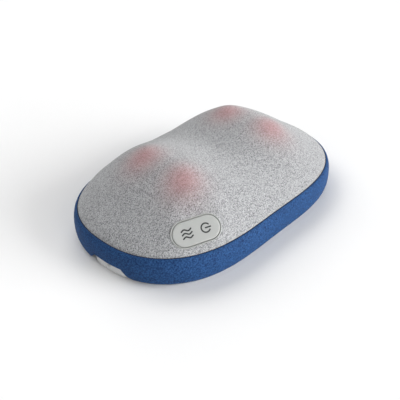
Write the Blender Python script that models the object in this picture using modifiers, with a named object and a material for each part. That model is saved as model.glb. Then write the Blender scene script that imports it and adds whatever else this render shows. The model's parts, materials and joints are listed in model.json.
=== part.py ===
"""Shiatsu neck massager: a pillow-shaped massager with two counter-rotating heads.

Frame: +X along the pillow, -Y towards the side with the keys, +Z up, and the origin on the
floor under the middle. The left end is -X. Sizes are in millimetres, and every mesh is
scaled to metres by MM when its object is made.
"""

from math import copysign
from math import cos
from math import exp
from math import hypot
from math import pi
from math import radians
from math import sin
from math import tan
from math import tanh

import bmesh
import bpy
from mathutils import Matrix
from mathutils import Vector

MM = 0.001
GAP = 0.3                     # between pieces that touch
AROUND = 36                   # points around the pillow's outline
SHELL_AROUND = 48             # points around the bottom shell

# plan outline and side profile
LENGTH = 320.0
SHOULDER_WIDTH = 227.6        # before the waist narrows it
WAIST = 0.11                  # share of the width that the waist takes away
SQUARENESS = 2.35             # exponent of the oval
SEAM_Z = 34.5                 # where the cover meets the side band
SEAM_INSET = 5.3

# dome of the cover
DOME_RISE = 31.0
DOME_FLATNESS = 3.24
DOME_EDGE = 0.82
MOUND_RISE = 26.0
MOUND_X = 69.0
MOUND_LENGTH = 55.0
MOUND_WIDTH = 105.0
BUMP_RISE = 3.0
BUMP_RADIUS = 17.0

# layers of the upper half, measured inwards from the cover's outer face
COVER_THICKNESS = 2.5
FOAM_THICKNESS = 6.0
FRAME_THICKNESS = 2.2
SKIRT_Z = 29.2
FLANGE_TOP = 28.4
FLANGE_BOTTOM = 26.2
FLANGE_INSET = 6.2
FRAME_OPENING = 49.5          # radius of the two round openings over the heads
SKIN_SHARES = (0.07, 0.2, 0.4, 0.58, 0.74, 0.87, 0.96)     # rings of the dome

# lower half
WALL_TOP = 25.9
FLOOR_Z = 2.6
FLOOR_THICKNESS = 2.2
BAND_LOW = 1.0
FOOT_HEIGHT = 2.3
FOOT_RADIUS = 7.0
FOOT_EDGE = 0.8               # bevel around the face it stands on
FOOT_X = 108.0
FOOT_Y = 56.0
SCREW_X = 128.0
SCREW_Y = 42.0
SCREW_RADIUS = 1.5
SCREW_LENGTH = 18.0           # from under its head
SCREW_HEAD_RADIUS = 3.0
SCREW_HEAD_HEIGHT = 2.4
SCREW_POST_RADIUS = 4.5
BOSS_TOP = 16.0
BOSS_RADIUS = 6.0
RECESS_RADIUS = 3.8           # of the room below each screw
RECESS_TOP = 12.0
PILLARS = ((90.0, -34.0), (90.0, 22.0))     # under the chassis plate, on both sides
PILLAR_RADIUS = 4.0
BOARD_POST_X = 40.0
BOARD_POST_Y = -70.0
BOARD_POST_RADIUS = 3.0
VENTS = 4
VENT_PITCH = 9.0
VENT_WIDTH = 3.0
VENT_FRONT = -48.0
VENT_BACK = -20.0
NOTCH_Y = -10.0
NOTCH_HALF_WIDTH = 18.5       # of its flat top
NOTCH_TOP = 14.5
NOTCH_FLARE = 7.5             # how soon its sides come down to the band's lower edge
NOTCH_FLARE_POWER = 1.2
NOTCH_FLARE_REACH = 26.0
NOTCH_FLARE_STEPS = 8
SHELL_FILL = 17.5             # half of the width where the shell's wall fills the notch
SHELL_FADE = 10.0             # how far beside it the wall falls back to the common section
JACK_Z = 9.6
JACK_X = -155.6
JACK_LENGTH = 13.0
JACK_RADIUS = 3.2
JACK_BORE_RADIUS = 1.9
JACK_BORE_DEPTH = 9.5
JACK_PIN_RADIUS = 0.65
JACK_PIN_DEPTH = 1.5          # of the pin's tip behind the socket's mouth

# massage heads
HEAD_X = 67.0
NODE_ORBIT = 30.0
NODE_RADIUS = 14.5
NODE_LEAN = radians(-4.0)     # how far an arm lies off the cross direction at rest
NODE_LOW = 45.2
NODE_CENTRE = 54.0
NODE_BORE = 5.3
POST_RADIUS = 4.9
POST_TOP = 54.0
ARM_LOW = 39.0
ARM_TOP = 44.0
ARM_RADIUS = 9.5
SPINDLE_RADIUS = 4.0
SPINDLE_LOW = 12.6
SPINDLE_TOP = 48.5
NUT_RADIUS = 7.0              # over its corners
NUT_TOP = 47.9
LAMP_RADIUS = 3.6
LAMP_FLANGE_RADIUS = 4.6
LAMP_FLANGE_HEIGHT = 1.2
LAMP_HEIGHT = 4.4
SWEEP_CLEARANCE = 1.0         # around the turning nodes, in the foam

# worm drive
MODULE = 2.15
WHEEL_TEETH = 20
WHEEL_THICKNESS = 9.0
WORM_PITCH_RADIUS = 6.5
WORM_LENGTH = 26.0
WORM_STEPS = 12               # sections in each turn of the thread
PRESSURE_ANGLE = radians(20)
BACKLASH = 0.5
ADDENDUM = 2.0
DEDENDUM = 2.4
WHEEL_PITCH_RADIUS = MODULE * WHEEL_TEETH / 2
LEAD = pi * MODULE
DRIVE_Y = -(WHEEL_PITCH_RADIUS + WORM_PITCH_RADIUS)
DRIVE_Z = 24.0
SHAFT_RADIUS = 2.0
SHAFT_HALF_LENGTH = 98.5
HUB_RADIUS = 8.0
HUB_HEIGHT = 1.8              # above the wheel's teeth

# gearbox
BASE_LOW = 9.6
BASE_TOP = 12.0
BOX_HALF_LENGTH = 31.0
BOX_FRONT = -40.0
BOX_BACK = 29.0
BOX_TOP = 35.2
BOX_WALL = 2.0
BOX_BEVEL = 3.0
BUSH_RADIUS = 7.0
BUSH_LENGTH = 4.4
SEAT_RADIUS = 11.0
SEAT_TOP = 17.0
UPPER_BOSS_RADIUS = 10.0
UPPER_BOSS_TOP = 38.0
BEARING_RADIUS = 4.0
BEARING_HALF_LENGTH = 3.0
SADDLE_HALF = 3.4
BASE_MARGIN = 3.0             # of the chassis plate, beyond the gearboxes
BASE_LIP = 2.0                # of the plate, in front of the gearboxes
BASE_LOBE_X = 36.0            # inner edges of the plate's lobes, beside the battery
BASE_NECK_X = 30.0
BASE_NECK_BACK = -4.0
BASE_TAB_X = 22.0             # tab under the front foot of the motor's clamp
BASE_TAB_DEPTH = 10.0

# motor
MOTOR_RADIUS = 11.6
MOTOR_WALL = 1.2
MOTOR_LEFT = -24.0
MOTOR_RIGHT = 20.0
END_CAP_THICKNESS = 4.0
ROTOR_RADIUS = 8.6
ROTOR_LEFT = -16.0
ROTOR_RIGHT = 12.0
CLAMP_CLEARANCE = 0.4
CLAMP_THICKNESS = 2.0
CLAMP_FOOT = 7.0              # how far its feet reach out
CLAMP_HALF_WIDTH = 6.0
CLAMP_START = radians(-40)
CLAMP_SWEEP = radians(260)
CLAMP_STEPS = 10

# battery and board
CELL_RADIUS = 9.1
CELL_LENGTH = 65.0
CELL_Z = 16.0
CELL_ROWS = (37.0, 57.0, 77.0)
CELL_TIP_RADIUS = 3.0
CELL_TIP_HEIGHT = 1.0
TRAY_LOW = 5.3
TRAY_FLOOR = 6.5
TRAY_TOP = 18.0
TRAY_MARGIN_X = 2.9           # from the cells to its outer faces
TRAY_MARGIN_Y = 2.0
TRAY_ROOM_X = 0.7             # play beside the cells
TRAY_WALL_Y = 1.6
BOARD_X = 45.0
BOARD_FRONT = -87.0
BOARD_BACK = -52.0
BOARD_Z = 8.3
BOARD_THICKNESS = 1.6
CHIPS = ((-12, -76, 4, -64, 3), (14, -80, 24, -70, 7), (28, -66, 40, -57, 6),
         (-34, -70, -24, -60, 5))          # left, front, right, back and height of each
LEAD_RADIUS = 1.1

# keys
KEY_X = -97.0
KEY_Y = -73.0
KEY_TURN = radians(-24.7)     # the pill's long direction, from +X
KEY_LENGTH = 48.0
KEY_WIDTH = 24.2
KEY_GAP = 0.45
KEY_THICKNESS = 3.4
KEY_PROUD = 0.9
BEZEL_WALL = 1.2
BEZEL_PROUD = 0.4
BEZEL_DEPTH = 12.5
BEZEL_FLOOR = 1.6
KEY_FLATTEN = 16.0            # how far around the keys the dome eases into their plane
KEY_RAISE = 2.5               # the most that the dome is raised towards that plane
PIN_DEPTH = 4.6
PIN_RADIUS = 1.1
KEY_RIB_HALF = 2.6            # of the rib under the key that its pin goes through
KEY_RIB_END = 1.0             # from the rib's ends to the key's edge
KEY_BOARD_HALF_LENGTH = 19.0
KEY_BOARD_HALF_WIDTH = 8.0
KEY_BOARD_THICKNESS = 1.2
SWITCH_OFFSET = 15.0
SWITCH_HALF = 3.0
PLUNGER_RADIUS = 1.6
PLUNGER_HEIGHT = 1.5
PRESS_GAP = 0.9               # between a level key and the plungers
PILL_STEPS = 9

SIDES = {"left": -1, "right": 1}


# ---------------------------------------------------------------- the pillow's surface

def outline_point(angle, inset):
    """A point of the plan outline, a squarish oval with a waist, moved inwards by inset."""
    half_length = LENGTH / 2 - inset
    half_width = SHOULDER_WIDTH / 2 - inset
    x = half_length * copysign(abs(cos(angle)) ** (2 / SQUARENESS), cos(angle))
    y = half_width * copysign(abs(sin(angle)) ** (2 / SQUARENESS), sin(angle))
    return Vector((x, y * waist_factor(x, half_length)))


def waist_factor(x, half_length):
    """How much of the width is left at x."""
    along = max(-1.0, min(1.0, x / half_length))
    return 1 - WAIST / 2 * (1 + cos(pi * along))


def reach(x, y):
    """0 in the middle of the pillow and 1 on the seam."""
    half_length = LENGTH / 2 - SEAM_INSET
    half_width = (SHOULDER_WIDTH / 2 - SEAM_INSET) * waist_factor(x, half_length)
    total = abs(x / half_length) ** SQUARENESS + abs(y / half_width) ** SQUARENESS
    return total ** (1 / SQUARENESS)


def node_position(side, end):
    """Where a massage node stands at rest: side is -1 or 1 in X, end is -1 or 1 in Y."""
    x = side * HEAD_X + end * side * NODE_ORBIT * sin(NODE_LEAN)
    return Vector((x, end * NODE_ORBIT * cos(NODE_LEAN)))


def dome_height(x, y):
    """Height of the cover's outer face over (x, y), before it is flattened for the keys."""
    rho = min(1.0, reach(x, y))
    height = SEAM_Z + DOME_RISE * max(0.0, 1 - rho ** DOME_FLATNESS) ** DOME_EDGE
    for side in SIDES.values():
        mound = exp(-((x - side * MOUND_X) / MOUND_LENGTH) ** 2 - (y / MOUND_WIDTH) ** 2)
        height += MOUND_RISE * mound * (1 - rho ** 4)
        for end in (-1, 1):
            node = node_position(side, end)
            away = hypot(x - node.x, y - node.y)
            height += BUMP_RISE * exp(-(away / BUMP_RADIUS) ** 2)
    return height


def surface_normal(height, x, y):
    """Unit normal of a height function at (x, y)."""
    step = 0.5
    slope_x = (height(x + step, y) - height(x - step, y)) / (2 * step)
    slope_y = (height(x, y + step) - height(x, y - step)) / (2 * step)
    return Vector((-slope_x, -slope_y, 1)).normalized()


KEY_CENTRE = Vector((KEY_X, KEY_Y, dome_height(KEY_X, KEY_Y) - 0.5))
KEY_NORMAL = surface_normal(dome_height, KEY_X, KEY_Y)


def key_frame():
    """Matrix of the keys' own frame: X along the pill, Z out of the cover, in millimetres."""
    along = Vector((cos(KEY_TURN), sin(KEY_TURN), 0))
    along.z = -along.dot(KEY_NORMAL) / KEY_NORMAL.z
    along.normalize()
    across = KEY_NORMAL.cross(along)
    turn = Matrix((along, across, KEY_NORMAL)).transposed().to_4x4()
    return Matrix.Translation(KEY_CENTRE) @ turn


def cover_height(x, y):
    """Height of the cover's outer face, flattened to the keys' plane around them."""
    place = key_frame().inverted() @ Vector((x, y, KEY_CENTRE.z))
    straight = (KEY_LENGTH - KEY_WIDTH) / 2
    beside = hypot(max(0.0, abs(place.x) - straight), place.y) - KEY_WIDTH / 2
    away = max(0.0, min(1.0, (beside - 2) / KEY_FLATTEN))
    weight = 1 - away * away * (3 - 2 * away)
    tilt = KEY_NORMAL.x * (x - KEY_X) + KEY_NORMAL.y * (y - KEY_Y)
    plane = KEY_CENTRE.z - tilt / KEY_NORMAL.z
    dome = dome_height(x, y)
    return dome + KEY_RAISE * tanh((plane - dome) / KEY_RAISE) * weight


# ---------------------------------------------------------------- making objects

def clear_scene():
    """Remove whatever the file holds."""
    for obj in list(bpy.data.objects):
        bpy.data.objects.remove(obj, do_unlink=True)
    for collection in list(bpy.data.collections):
        bpy.data.collections.remove(collection)


def new_collection(name):
    """Make a collection in the scene."""
    collection = bpy.data.collections.new(name)
    bpy.context.scene.collection.children.link(collection)
    return collection


def new_material(name, colour, roughness, metallic=0.0):
    """Make a Principled material."""
    material = bpy.data.materials.new(name)
    material.use_nodes = True
    shader = material.node_tree.nodes["Principled BSDF"]
    shader.inputs["Base Color"].default_value = (*colour, 1)
    shader.inputs["Roughness"].default_value = roughness
    shader.inputs["Metallic"].default_value = metallic
    material.diffuse_color = (*colour, 1)
    return material


clear_scene()
PARTS = new_collection("shiatsu_neck_massager")
CUTTERS = new_collection("cutters")
FABRIC = (0.36, 0.37, 0.39)
BLUE = (0.045, 0.11, 0.28)
WHITE = (0.72, 0.72, 0.71)
NATURAL = (0.62, 0.60, 0.54)
GREY = (0.22, 0.23, 0.24)
BLACK = (0.03, 0.03, 0.03)
STEEL = (0.55, 0.56, 0.58)
BRASS = (0.60, 0.42, 0.18)
RED = (0.75, 0.06, 0.04)
GREEN = (0.02, 0.16, 0.07)


def new_object(name, bm, look, origin=(0, 0, 0)):
    """Make an object from a mesh drawn in world millimetres, with its own origin on a point."""
    origin = Vector(origin)
    to_metres = Matrix.Scale(MM, 4) @ Matrix.Translation(-origin)
    bmesh.ops.transform(bm, matrix=to_metres, verts=bm.verts)
    bmesh.ops.recalc_face_normals(bm, faces=bm.faces)
    return finish_object(name, bm, look, origin)


def finish_object(name, bm, look, origin):
    """Turn a mesh in metres into an object. look is (colour, roughness, metallic) or None."""
    mesh = bpy.data.meshes.new(name)
    bm.to_mesh(mesh)
    bm.free()
    obj = bpy.data.objects.new(name, mesh)
    obj.location = Vector(origin) * MM
    if look is None:
        CUTTERS.objects.link(obj)
        obj.hide_render = True
        obj.display_type = "WIRE"
    else:
        PARTS.objects.link(obj)
        mesh.materials.append(new_material(name, *look))
    return obj


def turned(name, profile, look, at=(0, 0, 0), steps=14, along_x=False):
    """Turn a profile of (radius, height) points. They run down the outer side, top to bottom,
    and, where the piece has a bore, back up the bore."""
    bm = bmesh.new()
    corners = [bm.verts.new((radius * MM, 0, height * MM)) for radius, height in profile]
    for first, second in zip(corners, corners[1:]):
        bm.edges.new((first, second))
    if profile[0][0] > 0:
        bm.edges.new((corners[-1], corners[0]))
    obj = finish_object(name, bm, look, at)
    screw = obj.modifiers.new("turn", "SCREW")
    screw.axis = "Z"
    screw.steps = steps
    screw.render_steps = steps
    screw.use_merge_vertices = True
    screw.merge_threshold = 0.00001
    if along_x:
        obj.rotation_euler = (0, pi / 2, 0)
    return obj


def disc_profile(radius, low, high):
    """Profile of a plain cylinder."""
    return [(0, high), (radius, high), (radius, low), (0, low)]


def tube_profile(outer, inner, low, high):
    """Profile of a plain tube."""
    return [(inner, high), (outer, high), (outer, low), (inner, low)]


def block_mesh(low, high):
    """A box between two corners, as a mesh in millimetres."""
    bm = bmesh.new()
    size = Vector(high) - Vector(low)
    middle = (Vector(high) + Vector(low)) / 2
    place = Matrix.Translation(middle) @ Matrix.Diagonal((*size, 1))
    bmesh.ops.create_cube(bm, size=1, matrix=place)
    return bm


def block(name, low, high, look, bevel=0.0):
    """A box between two corners, with its edges bevelled."""
    obj = new_object(name, block_mesh(low, high), look)
    if bevel:
        rounding = obj.modifiers.new("edges", "BEVEL")
        rounding.width = bevel * MM
        rounding.segments = 1
    return obj


def rod(name, start, end, radius, steps=16):
    """A cylinder cutter between two points."""
    start = Vector(start)
    end = Vector(end)
    bm = bmesh.new()
    turn = (end - start).to_track_quat("Z", "Y").to_matrix().to_4x4()
    place = Matrix.Translation((start + end) / 2) @ turn
    bmesh.ops.create_cone(bm, cap_ends=True, segments=steps, radius1=radius, radius2=radius,
                          depth=(end - start).length, matrix=place)
    return new_object(name, bm, None)


def prism_mesh(outline, low, high):
    """A flat outline of (x, y) points, extruded from low to high in Z."""
    bm = bmesh.new()
    face = bm.faces.new([bm.verts.new((x, y, low)) for x, y in outline])
    raised = bmesh.ops.extrude_face_region(bm, geom=[face])["geom"]
    tops = [item for item in raised if isinstance(item, bmesh.types.BMVert)]
    bmesh.ops.translate(bm, vec=(0, 0, high - low), verts=tops)
    return bm


def pill_outline(length, width, steps):
    """Points of a pill along X, with steps points on each round end."""
    straight = (length - width) / 2
    points = []
    for side, start in ((1, -pi / 2), (-1, pi / 2)):
        for step in range(steps):
            angle = start + pi * step / (steps - 1)
            points.append((side * straight + width / 2 * cos(angle), width / 2 * sin(angle)))
    return points


def combine(obj, tool, operation):
    """Apply a Boolean with another object and keep the tool among the cutters."""
    boolean = obj.modifiers.new(operation.lower(), "BOOLEAN")
    boolean.operation = operation
    boolean.solver = "EXACT"
    boolean.object = tool


def cut(obj, tool):
    """Cut a tool out of an object."""
    combine(obj, tool, "DIFFERENCE")


def fuse(obj, tool):
    """Join a tool to an object."""
    combine(obj, tool, "UNION")


def loft(rings, joined=False):
    """Skin a list of equal rings. Joined closes the last ring to the first one, and otherwise
    each end ring is capped with a fan around its middle. The second half of the rings is split
    the other way, so that the two faces of a thin layer have the same facets."""
    bm = bmesh.new()
    rows = [[bm.verts.new(point) for point in ring] for ring in rings]
    pairs = list(zip(rows, rows[1:]))
    if joined:
        pairs.append((rows[-1], rows[0]))
    for number, (near, far) in enumerate(pairs):
        for index in range(len(near)):
            after = (index + 1) % len(near)
            if number < len(rows) / 2 - 0.5:
                bm.faces.new((near[index], near[after], far[after]))
                bm.faces.new((near[index], far[after], far[index]))
            else:
                bm.faces.new((near[index], near[after], far[index]))
                bm.faces.new((near[after], far[after], far[index]))
    if not joined:
        caps = [bm.faces.new(rows[0]), bm.faces.new(rows[-1])]
        bmesh.ops.poke(bm, faces=caps)
    return bm


def angles(count):
    """Equal steps around a circle."""
    return [2 * pi * index / count for index in range(count)]


def level_ring(inset, z):
    """The plan outline at one inset, lying at one height."""
    ring = []
    for angle in angles(AROUND):
        point = outline_point(angle, inset)
        ring.append(Vector((point.x, point.y, z)))
    return ring


def skin_ring(rho, depth):
    """A ring of the dome at a share rho of the way to the seam, at a depth below the cover."""
    ring = []
    for angle in angles(AROUND):
        edge = outline_point(angle, SEAM_INSET)
        x = edge.x * rho
        half_length = LENGTH / 2 - SEAM_INSET
        y = edge.y * rho * waist_factor(x, half_length) / waist_factor(edge.x, half_length)
        point = Vector((x, y, cover_height(x, y)))
        ring.append(point - depth * surface_normal(cover_height, x, y))
    return ring


def skin_rings(depth):
    """The dome's rings at one depth, from the middle out to the seam."""
    rings = [skin_ring(rho, depth) for rho in SKIN_SHARES]
    rings.append(level_ring(SEAM_INSET + depth, SEAM_Z - 0.34 * depth))
    return rings


# ---------------------------------------------------------------- upper half

def layer(name, outer_depth, inner_depth, edge, look):
    """A layer of the upper half between two depths. edge holds the (inset, z) rings that close
    it between its outer and its inner face."""
    rings = skin_rings(outer_depth)
    rings += [level_ring(inset, z) for inset, z in edge]
    rings += reversed(skin_rings(inner_depth))
    return new_object(name, loft(rings), look)


def key_opening():
    """Cutter for the opening that the key housing stands in."""
    margin = 2 * (KEY_GAP + BEZEL_WALL + GAP)
    outline = pill_outline(KEY_LENGTH + margin, KEY_WIDTH + margin, PILL_STEPS)
    bm = prism_mesh(outline, -24, 12)
    bmesh.ops.transform(bm, matrix=key_frame(), verts=bm.verts)
    return new_object("key_opening", bm, None)


def sweep_cutter(side):
    """Room that the turning nodes need in the foam: a ring turned around the head's axis."""
    reach_out = NODE_RADIUS + SWEEP_CLEARANCE
    profile = []
    for step in range(9):
        angle = pi * step / 8
        profile.append((NODE_ORBIT - reach_out * cos(angle), NODE_CENTRE + reach_out * sin(angle)))
    low = ARM_LOW - 2
    profile = [(NODE_ORBIT - reach_out, low)] + profile + [(NODE_ORBIT + reach_out, low)]
    name = "sweep_%s" % ("left" if side < 0 else "right")
    return turned(name, profile, None, at=(side * HEAD_X, 0, 0), steps=24)


def make_upper_half():
    """Fabric cover, foam pad and the frame that carries them."""
    foam_outer = COVER_THICKNESS + GAP
    foam_inner = foam_outer + FOAM_THICKNESS
    frame_outer = foam_inner + GAP
    frame_inner = frame_outer + FRAME_THICKNESS
    skirt = [(SEAM_INSET + 0.2, SKIRT_Z), (SEAM_INSET + 0.2 + COVER_THICKNESS, SKIRT_Z)]
    cover = layer("fabric_cover", 0, COVER_THICKNESS, skirt, (FABRIC, 0.9, 0))
    foam_low = FLANGE_TOP + GAP
    hem = [(SEAM_INSET + foam_outer + 0.2, foam_low), (SEAM_INSET + foam_inner, foam_low)]
    foam = layer("foam_pad", foam_outer, foam_inner, hem, ((0.75, 0.72, 0.6), 0.95, 0))
    flange = [(SEAM_INSET + frame_outer, FLANGE_TOP), (FLANGE_INSET, FLANGE_TOP),
              (FLANGE_INSET, FLANGE_BOTTOM), (SEAM_INSET + frame_inner, FLANGE_BOTTOM)]
    frame = layer("upper_frame", frame_outer, frame_inner, flange, (NATURAL, 0.5, 0))
    opening = key_opening()
    for piece in (cover, foam, frame):
        cut(piece, opening)
    for side in SIDES.values():
        cut(foam, sweep_cutter(side))
        middle = Vector((side * HEAD_X, 0, 0))
        cut(frame, rod("frame_opening", middle, middle + Vector((0, 0, 99)), FRAME_OPENING, 24))
        for end in (-1, 1):
            add_screw_post(frame, side * SCREW_X, end * SCREW_Y, frame_outer)


def add_screw_post(frame, x, y, frame_depth):
    """A post under the frame that one housing screw bites into."""
    outer_x = x + copysign(SCREW_POST_RADIUS, x)
    outer_y = y + copysign(SCREW_POST_RADIUS, y)
    normal = surface_normal(cover_height, outer_x, outer_y)
    top = cover_height(outer_x, outer_y) - (frame_depth + 0.5) / normal.z
    low = BOSS_TOP + GAP
    fuse(frame, rod("screw_post", (x, y, low), (x, y, top), SCREW_POST_RADIUS, 10))
    cut(frame, rod("screw_post_bore", (x, y, low - 1), (x, y, low + 15), SCREW_RADIUS + GAP, 8))


# ---------------------------------------------------------------- lower half

def notch_cutter():
    """Cutter for the notch in the band's lower edge, at the left end. Its top is flat, and its
    sides flare out until they meet the band's lower edge."""
    outline = [(NOTCH_HALF_WIDTH + NOTCH_FLARE_REACH, BAND_LOW - 2)]
    for step in range(NOTCH_FLARE_STEPS + 1):
        away = NOTCH_FLARE_REACH * (1 - step / NOTCH_FLARE_STEPS)
        share = exp(-(away / NOTCH_FLARE) ** NOTCH_FLARE_POWER)
        low = BAND_LOW - 0.5
        outline.append((NOTCH_HALF_WIDTH + away, low + (NOTCH_TOP - low) * share))
    outline += [(-y, z) for y, z in reversed(outline)]
    bm = prism_mesh(outline, -20, 26)
    upright = Matrix(((0, 0, 1, -LENGTH / 2), (1, 0, 0, NOTCH_Y), (0, 1, 0, 0), (0, 0, 0, 1)))
    bmesh.ops.transform(bm, matrix=upright, verts=bm.verts)
    return new_object("notch", bm, None)


def make_side_band():
    """Blue band around the lower half, open where the power inlet is reached."""
    section = [(4.3, 34.3), (2.2, 32.2), (0.7, 27.5), (0.0, 20.0), (0.3, 12.0), (1.7, 6.0),
               (4.4, 2.3), (8.2, BAND_LOW), (9.4, 2.1), (5.9, 4.6), (3.8, 8.0), (2.5, 14.0),
               (2.3, 21.0), (3.2, 28.0), (5.0, 32.6), (5.0, 34.3)]
    band = new_object("side_band", loft([level_ring(i, z) for i, z in section], True),
                      (BLUE, 0.55, 0))
    cut(band, notch_cutter())


def shell_ring(inset, z, notch_inset, notch_z):
    """A ring of the bottom shell at one inset and height. In the notch, where the band doesn't
    cover the wall, it has others."""
    ring = []
    for angle in angles(SHELL_AROUND):
        point = outline_point(angle, inset)
        beside = abs(point.y - NOTCH_Y) - SHELL_FILL
        away = max(0.0, min(1.0, beside / SHELL_FADE))
        share = 1 - away * away * (3 - 2 * away) if point.x < 0 else 0.0
        point = outline_point(angle, inset + (notch_inset - inset) * share)
        ring.append(Vector((point.x, point.y, z + (notch_z - z) * share)))
    return ring


def make_bottom_shell():
    """White tray that closes the underside and carries everything inside."""
    section = [(80.0, FLOOR_Z, 80.0, FLOOR_Z), (17.0, FLOOR_Z, 12.0, FLOOR_Z),
               (12.5, 3.3, 7.0, 1.4), (8.6, 6.6, 4.4, 2.4), (6.4, 12.5, 4.0, 13.0),
               (5.6, WALL_TOP, 5.6, WALL_TOP)]
    bm = loft([shell_ring(*row) for row in section])
    top_cap = [face for face in bm.faces if all(v.co.z > WALL_TOP - 0.01 for v in face.verts)]
    bmesh.ops.delete(bm, geom=top_cap, context="FACES")
    loose = [vert for vert in bm.verts if not vert.link_faces]
    bmesh.ops.delete(bm, geom=loose, context="VERTS")
    shell = new_object("bottom_shell", bm, (WHITE, 0.45, 0))
    thickness = shell.modifiers.new("wall", "SOLIDIFY")
    thickness.thickness = FLOOR_THICKNESS * MM
    thickness.offset = -1
    inside = FLOOR_Z + FLOOR_THICKNESS - 0.8
    for side in SIDES.values():
        for x, y in PILLARS:
            fuse(shell, rod("pillar", (side * x, y, inside), (side * x, y, BASE_LOW - GAP),
                            PILLAR_RADIUS, 8))
        x = side * BOARD_POST_X
        fuse(shell, rod("board_post", (x, BOARD_POST_Y, inside), (x, BOARD_POST_Y, BOARD_Z - GAP),
                        BOARD_POST_RADIUS, 8))
        for end in (-1, 1):
            x = side * SCREW_X
            y = end * SCREW_Y
            fuse(shell, rod("screw_boss", (x, y, inside), (x, y, BOSS_TOP), BOSS_RADIUS, 10))
            cut(shell, rod("screw_recess", (x, y, 0), (x, y, RECESS_TOP), RECESS_RADIUS, 10))
            cut(shell, rod("screw_hole", (x, y, 0), (x, y, BOSS_TOP + 4), SCREW_RADIUS + GAP, 8))
    for index in range(VENTS):
        left = (index - (VENTS - 1) / 2) * VENT_PITCH - VENT_WIDTH / 2
        slot = block("vent", (left, VENT_FRONT, 0), (left + VENT_WIDTH, VENT_BACK, 9), None)
        cut(shell, slot)
    hole = rod("inlet_hole", (JACK_X - 12, NOTCH_Y, JACK_Z), (JACK_X + JACK_LENGTH, NOTCH_Y, JACK_Z),
               JACK_RADIUS + GAP)
    cut(shell, hole)


def make_feet_and_screws():
    """Rubber feet under the floor, and the screws that close the housing."""
    head = RECESS_TOP - GAP
    head_low = head - SCREW_HEAD_HEIGHT
    foot = [(0, FOOT_HEIGHT), (FOOT_RADIUS, FOOT_HEIGHT), (FOOT_RADIUS, FOOT_EDGE),
            (FOOT_RADIUS - FOOT_EDGE, 0), (0, 0)]
    screw = [(0, head + SCREW_LENGTH), (SCREW_RADIUS, head + SCREW_LENGTH - 1),
             (SCREW_RADIUS, head), (SCREW_HEAD_RADIUS, head), (SCREW_HEAD_RADIUS, head_low + 0.8),
             (SCREW_HEAD_RADIUS - 1, head_low), (0, head_low)]
    for side_name, side in SIDES.items():
        for end_name, end in (("front", -1), ("back", 1)):
            turned("%s_%s_foot" % (side_name, end_name), foot, (BLACK, 0.8, 0),
                   at=(side * FOOT_X, end * FOOT_Y, 0), steps=16)
            turned("%s_%s_screw" % (side_name, end_name), screw, (STEEL, 0.3, 1),
                   at=(side * SCREW_X, end * SCREW_Y, 0), steps=8)


def make_power_inlet():
    """Round low-voltage socket behind the notch, with its centre pin."""
    profile = [(0, JACK_LENGTH), (JACK_RADIUS, JACK_LENGTH), (JACK_RADIUS, 0),
               (JACK_BORE_RADIUS, 0), (JACK_BORE_RADIUS, JACK_BORE_DEPTH),
               (JACK_PIN_RADIUS, JACK_BORE_DEPTH), (JACK_PIN_RADIUS, JACK_PIN_DEPTH),
               (0, JACK_PIN_DEPTH - 0.4)]
    turned("dc_jack", profile, (WHITE, 0.4, 0), at=(JACK_X, NOTCH_Y, JACK_Z), steps=16,
           along_x=True)


# ---------------------------------------------------------------- drive

def gear_tooth_half(distance):
    """Half of a tooth's thickness at a distance outside the pitch line."""
    return LEAD / 4 - BACKLASH / 4 - distance * tan(PRESSURE_ANGLE)


def wheel_ring(twist, z, middle):
    """Outline of the worm wheel, turned by twist, at one height."""
    ring = []
    root = WHEEL_PITCH_RADIUS - DEDENDUM
    tip = WHEEL_PITCH_RADIUS + ADDENDUM
    for tooth in range(WHEEL_TEETH):
        centre = -pi / 2 + 2 * pi * (tooth + 0.5) / WHEEL_TEETH + twist
        root_half = gear_tooth_half(-DEDENDUM) / WHEEL_PITCH_RADIUS
        tip_half = gear_tooth_half(ADDENDUM) / WHEEL_PITCH_RADIUS
        for radius, away in ((root, -root_half), (tip, -tip_half), (tip, tip_half),
                             (root, root_half)):
            angle = centre + away
            ring.append(Vector((middle.x + radius * cos(angle),
                                middle.y + radius * sin(angle), z)))
    return ring


def make_wheel(name, side, hand):
    """Helical wheel that one worm turns. hand is 1 for a right-hand helix."""
    middle = Vector((side * HEAD_X, 0))
    lead_angle = LEAD / (2 * pi * WORM_PITCH_RADIUS)
    twist = hand * lead_angle * WHEEL_THICKNESS / 2 / WHEEL_PITCH_RADIUS
    low = DRIVE_Z - WHEEL_THICKNESS / 2
    high = DRIVE_Z + WHEEL_THICKNESS / 2
    rings = [wheel_ring(-twist, low, middle), wheel_ring(twist, high, middle)]
    wheel = new_object(name, loft(rings), (NATURAL, 0.4, 0), origin=(middle.x, middle.y, DRIVE_Z))
    fuse(wheel, rod(name + "_hub", (middle.x, 0, high - 1), (middle.x, 0, high + HUB_HEIGHT),
                    HUB_RADIUS, 16))
    cut(wheel, rod(name + "_bore", (middle.x, 0, 0), (middle.x, 0, 50),
                   SPINDLE_RADIUS + GAP, 16))


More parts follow.
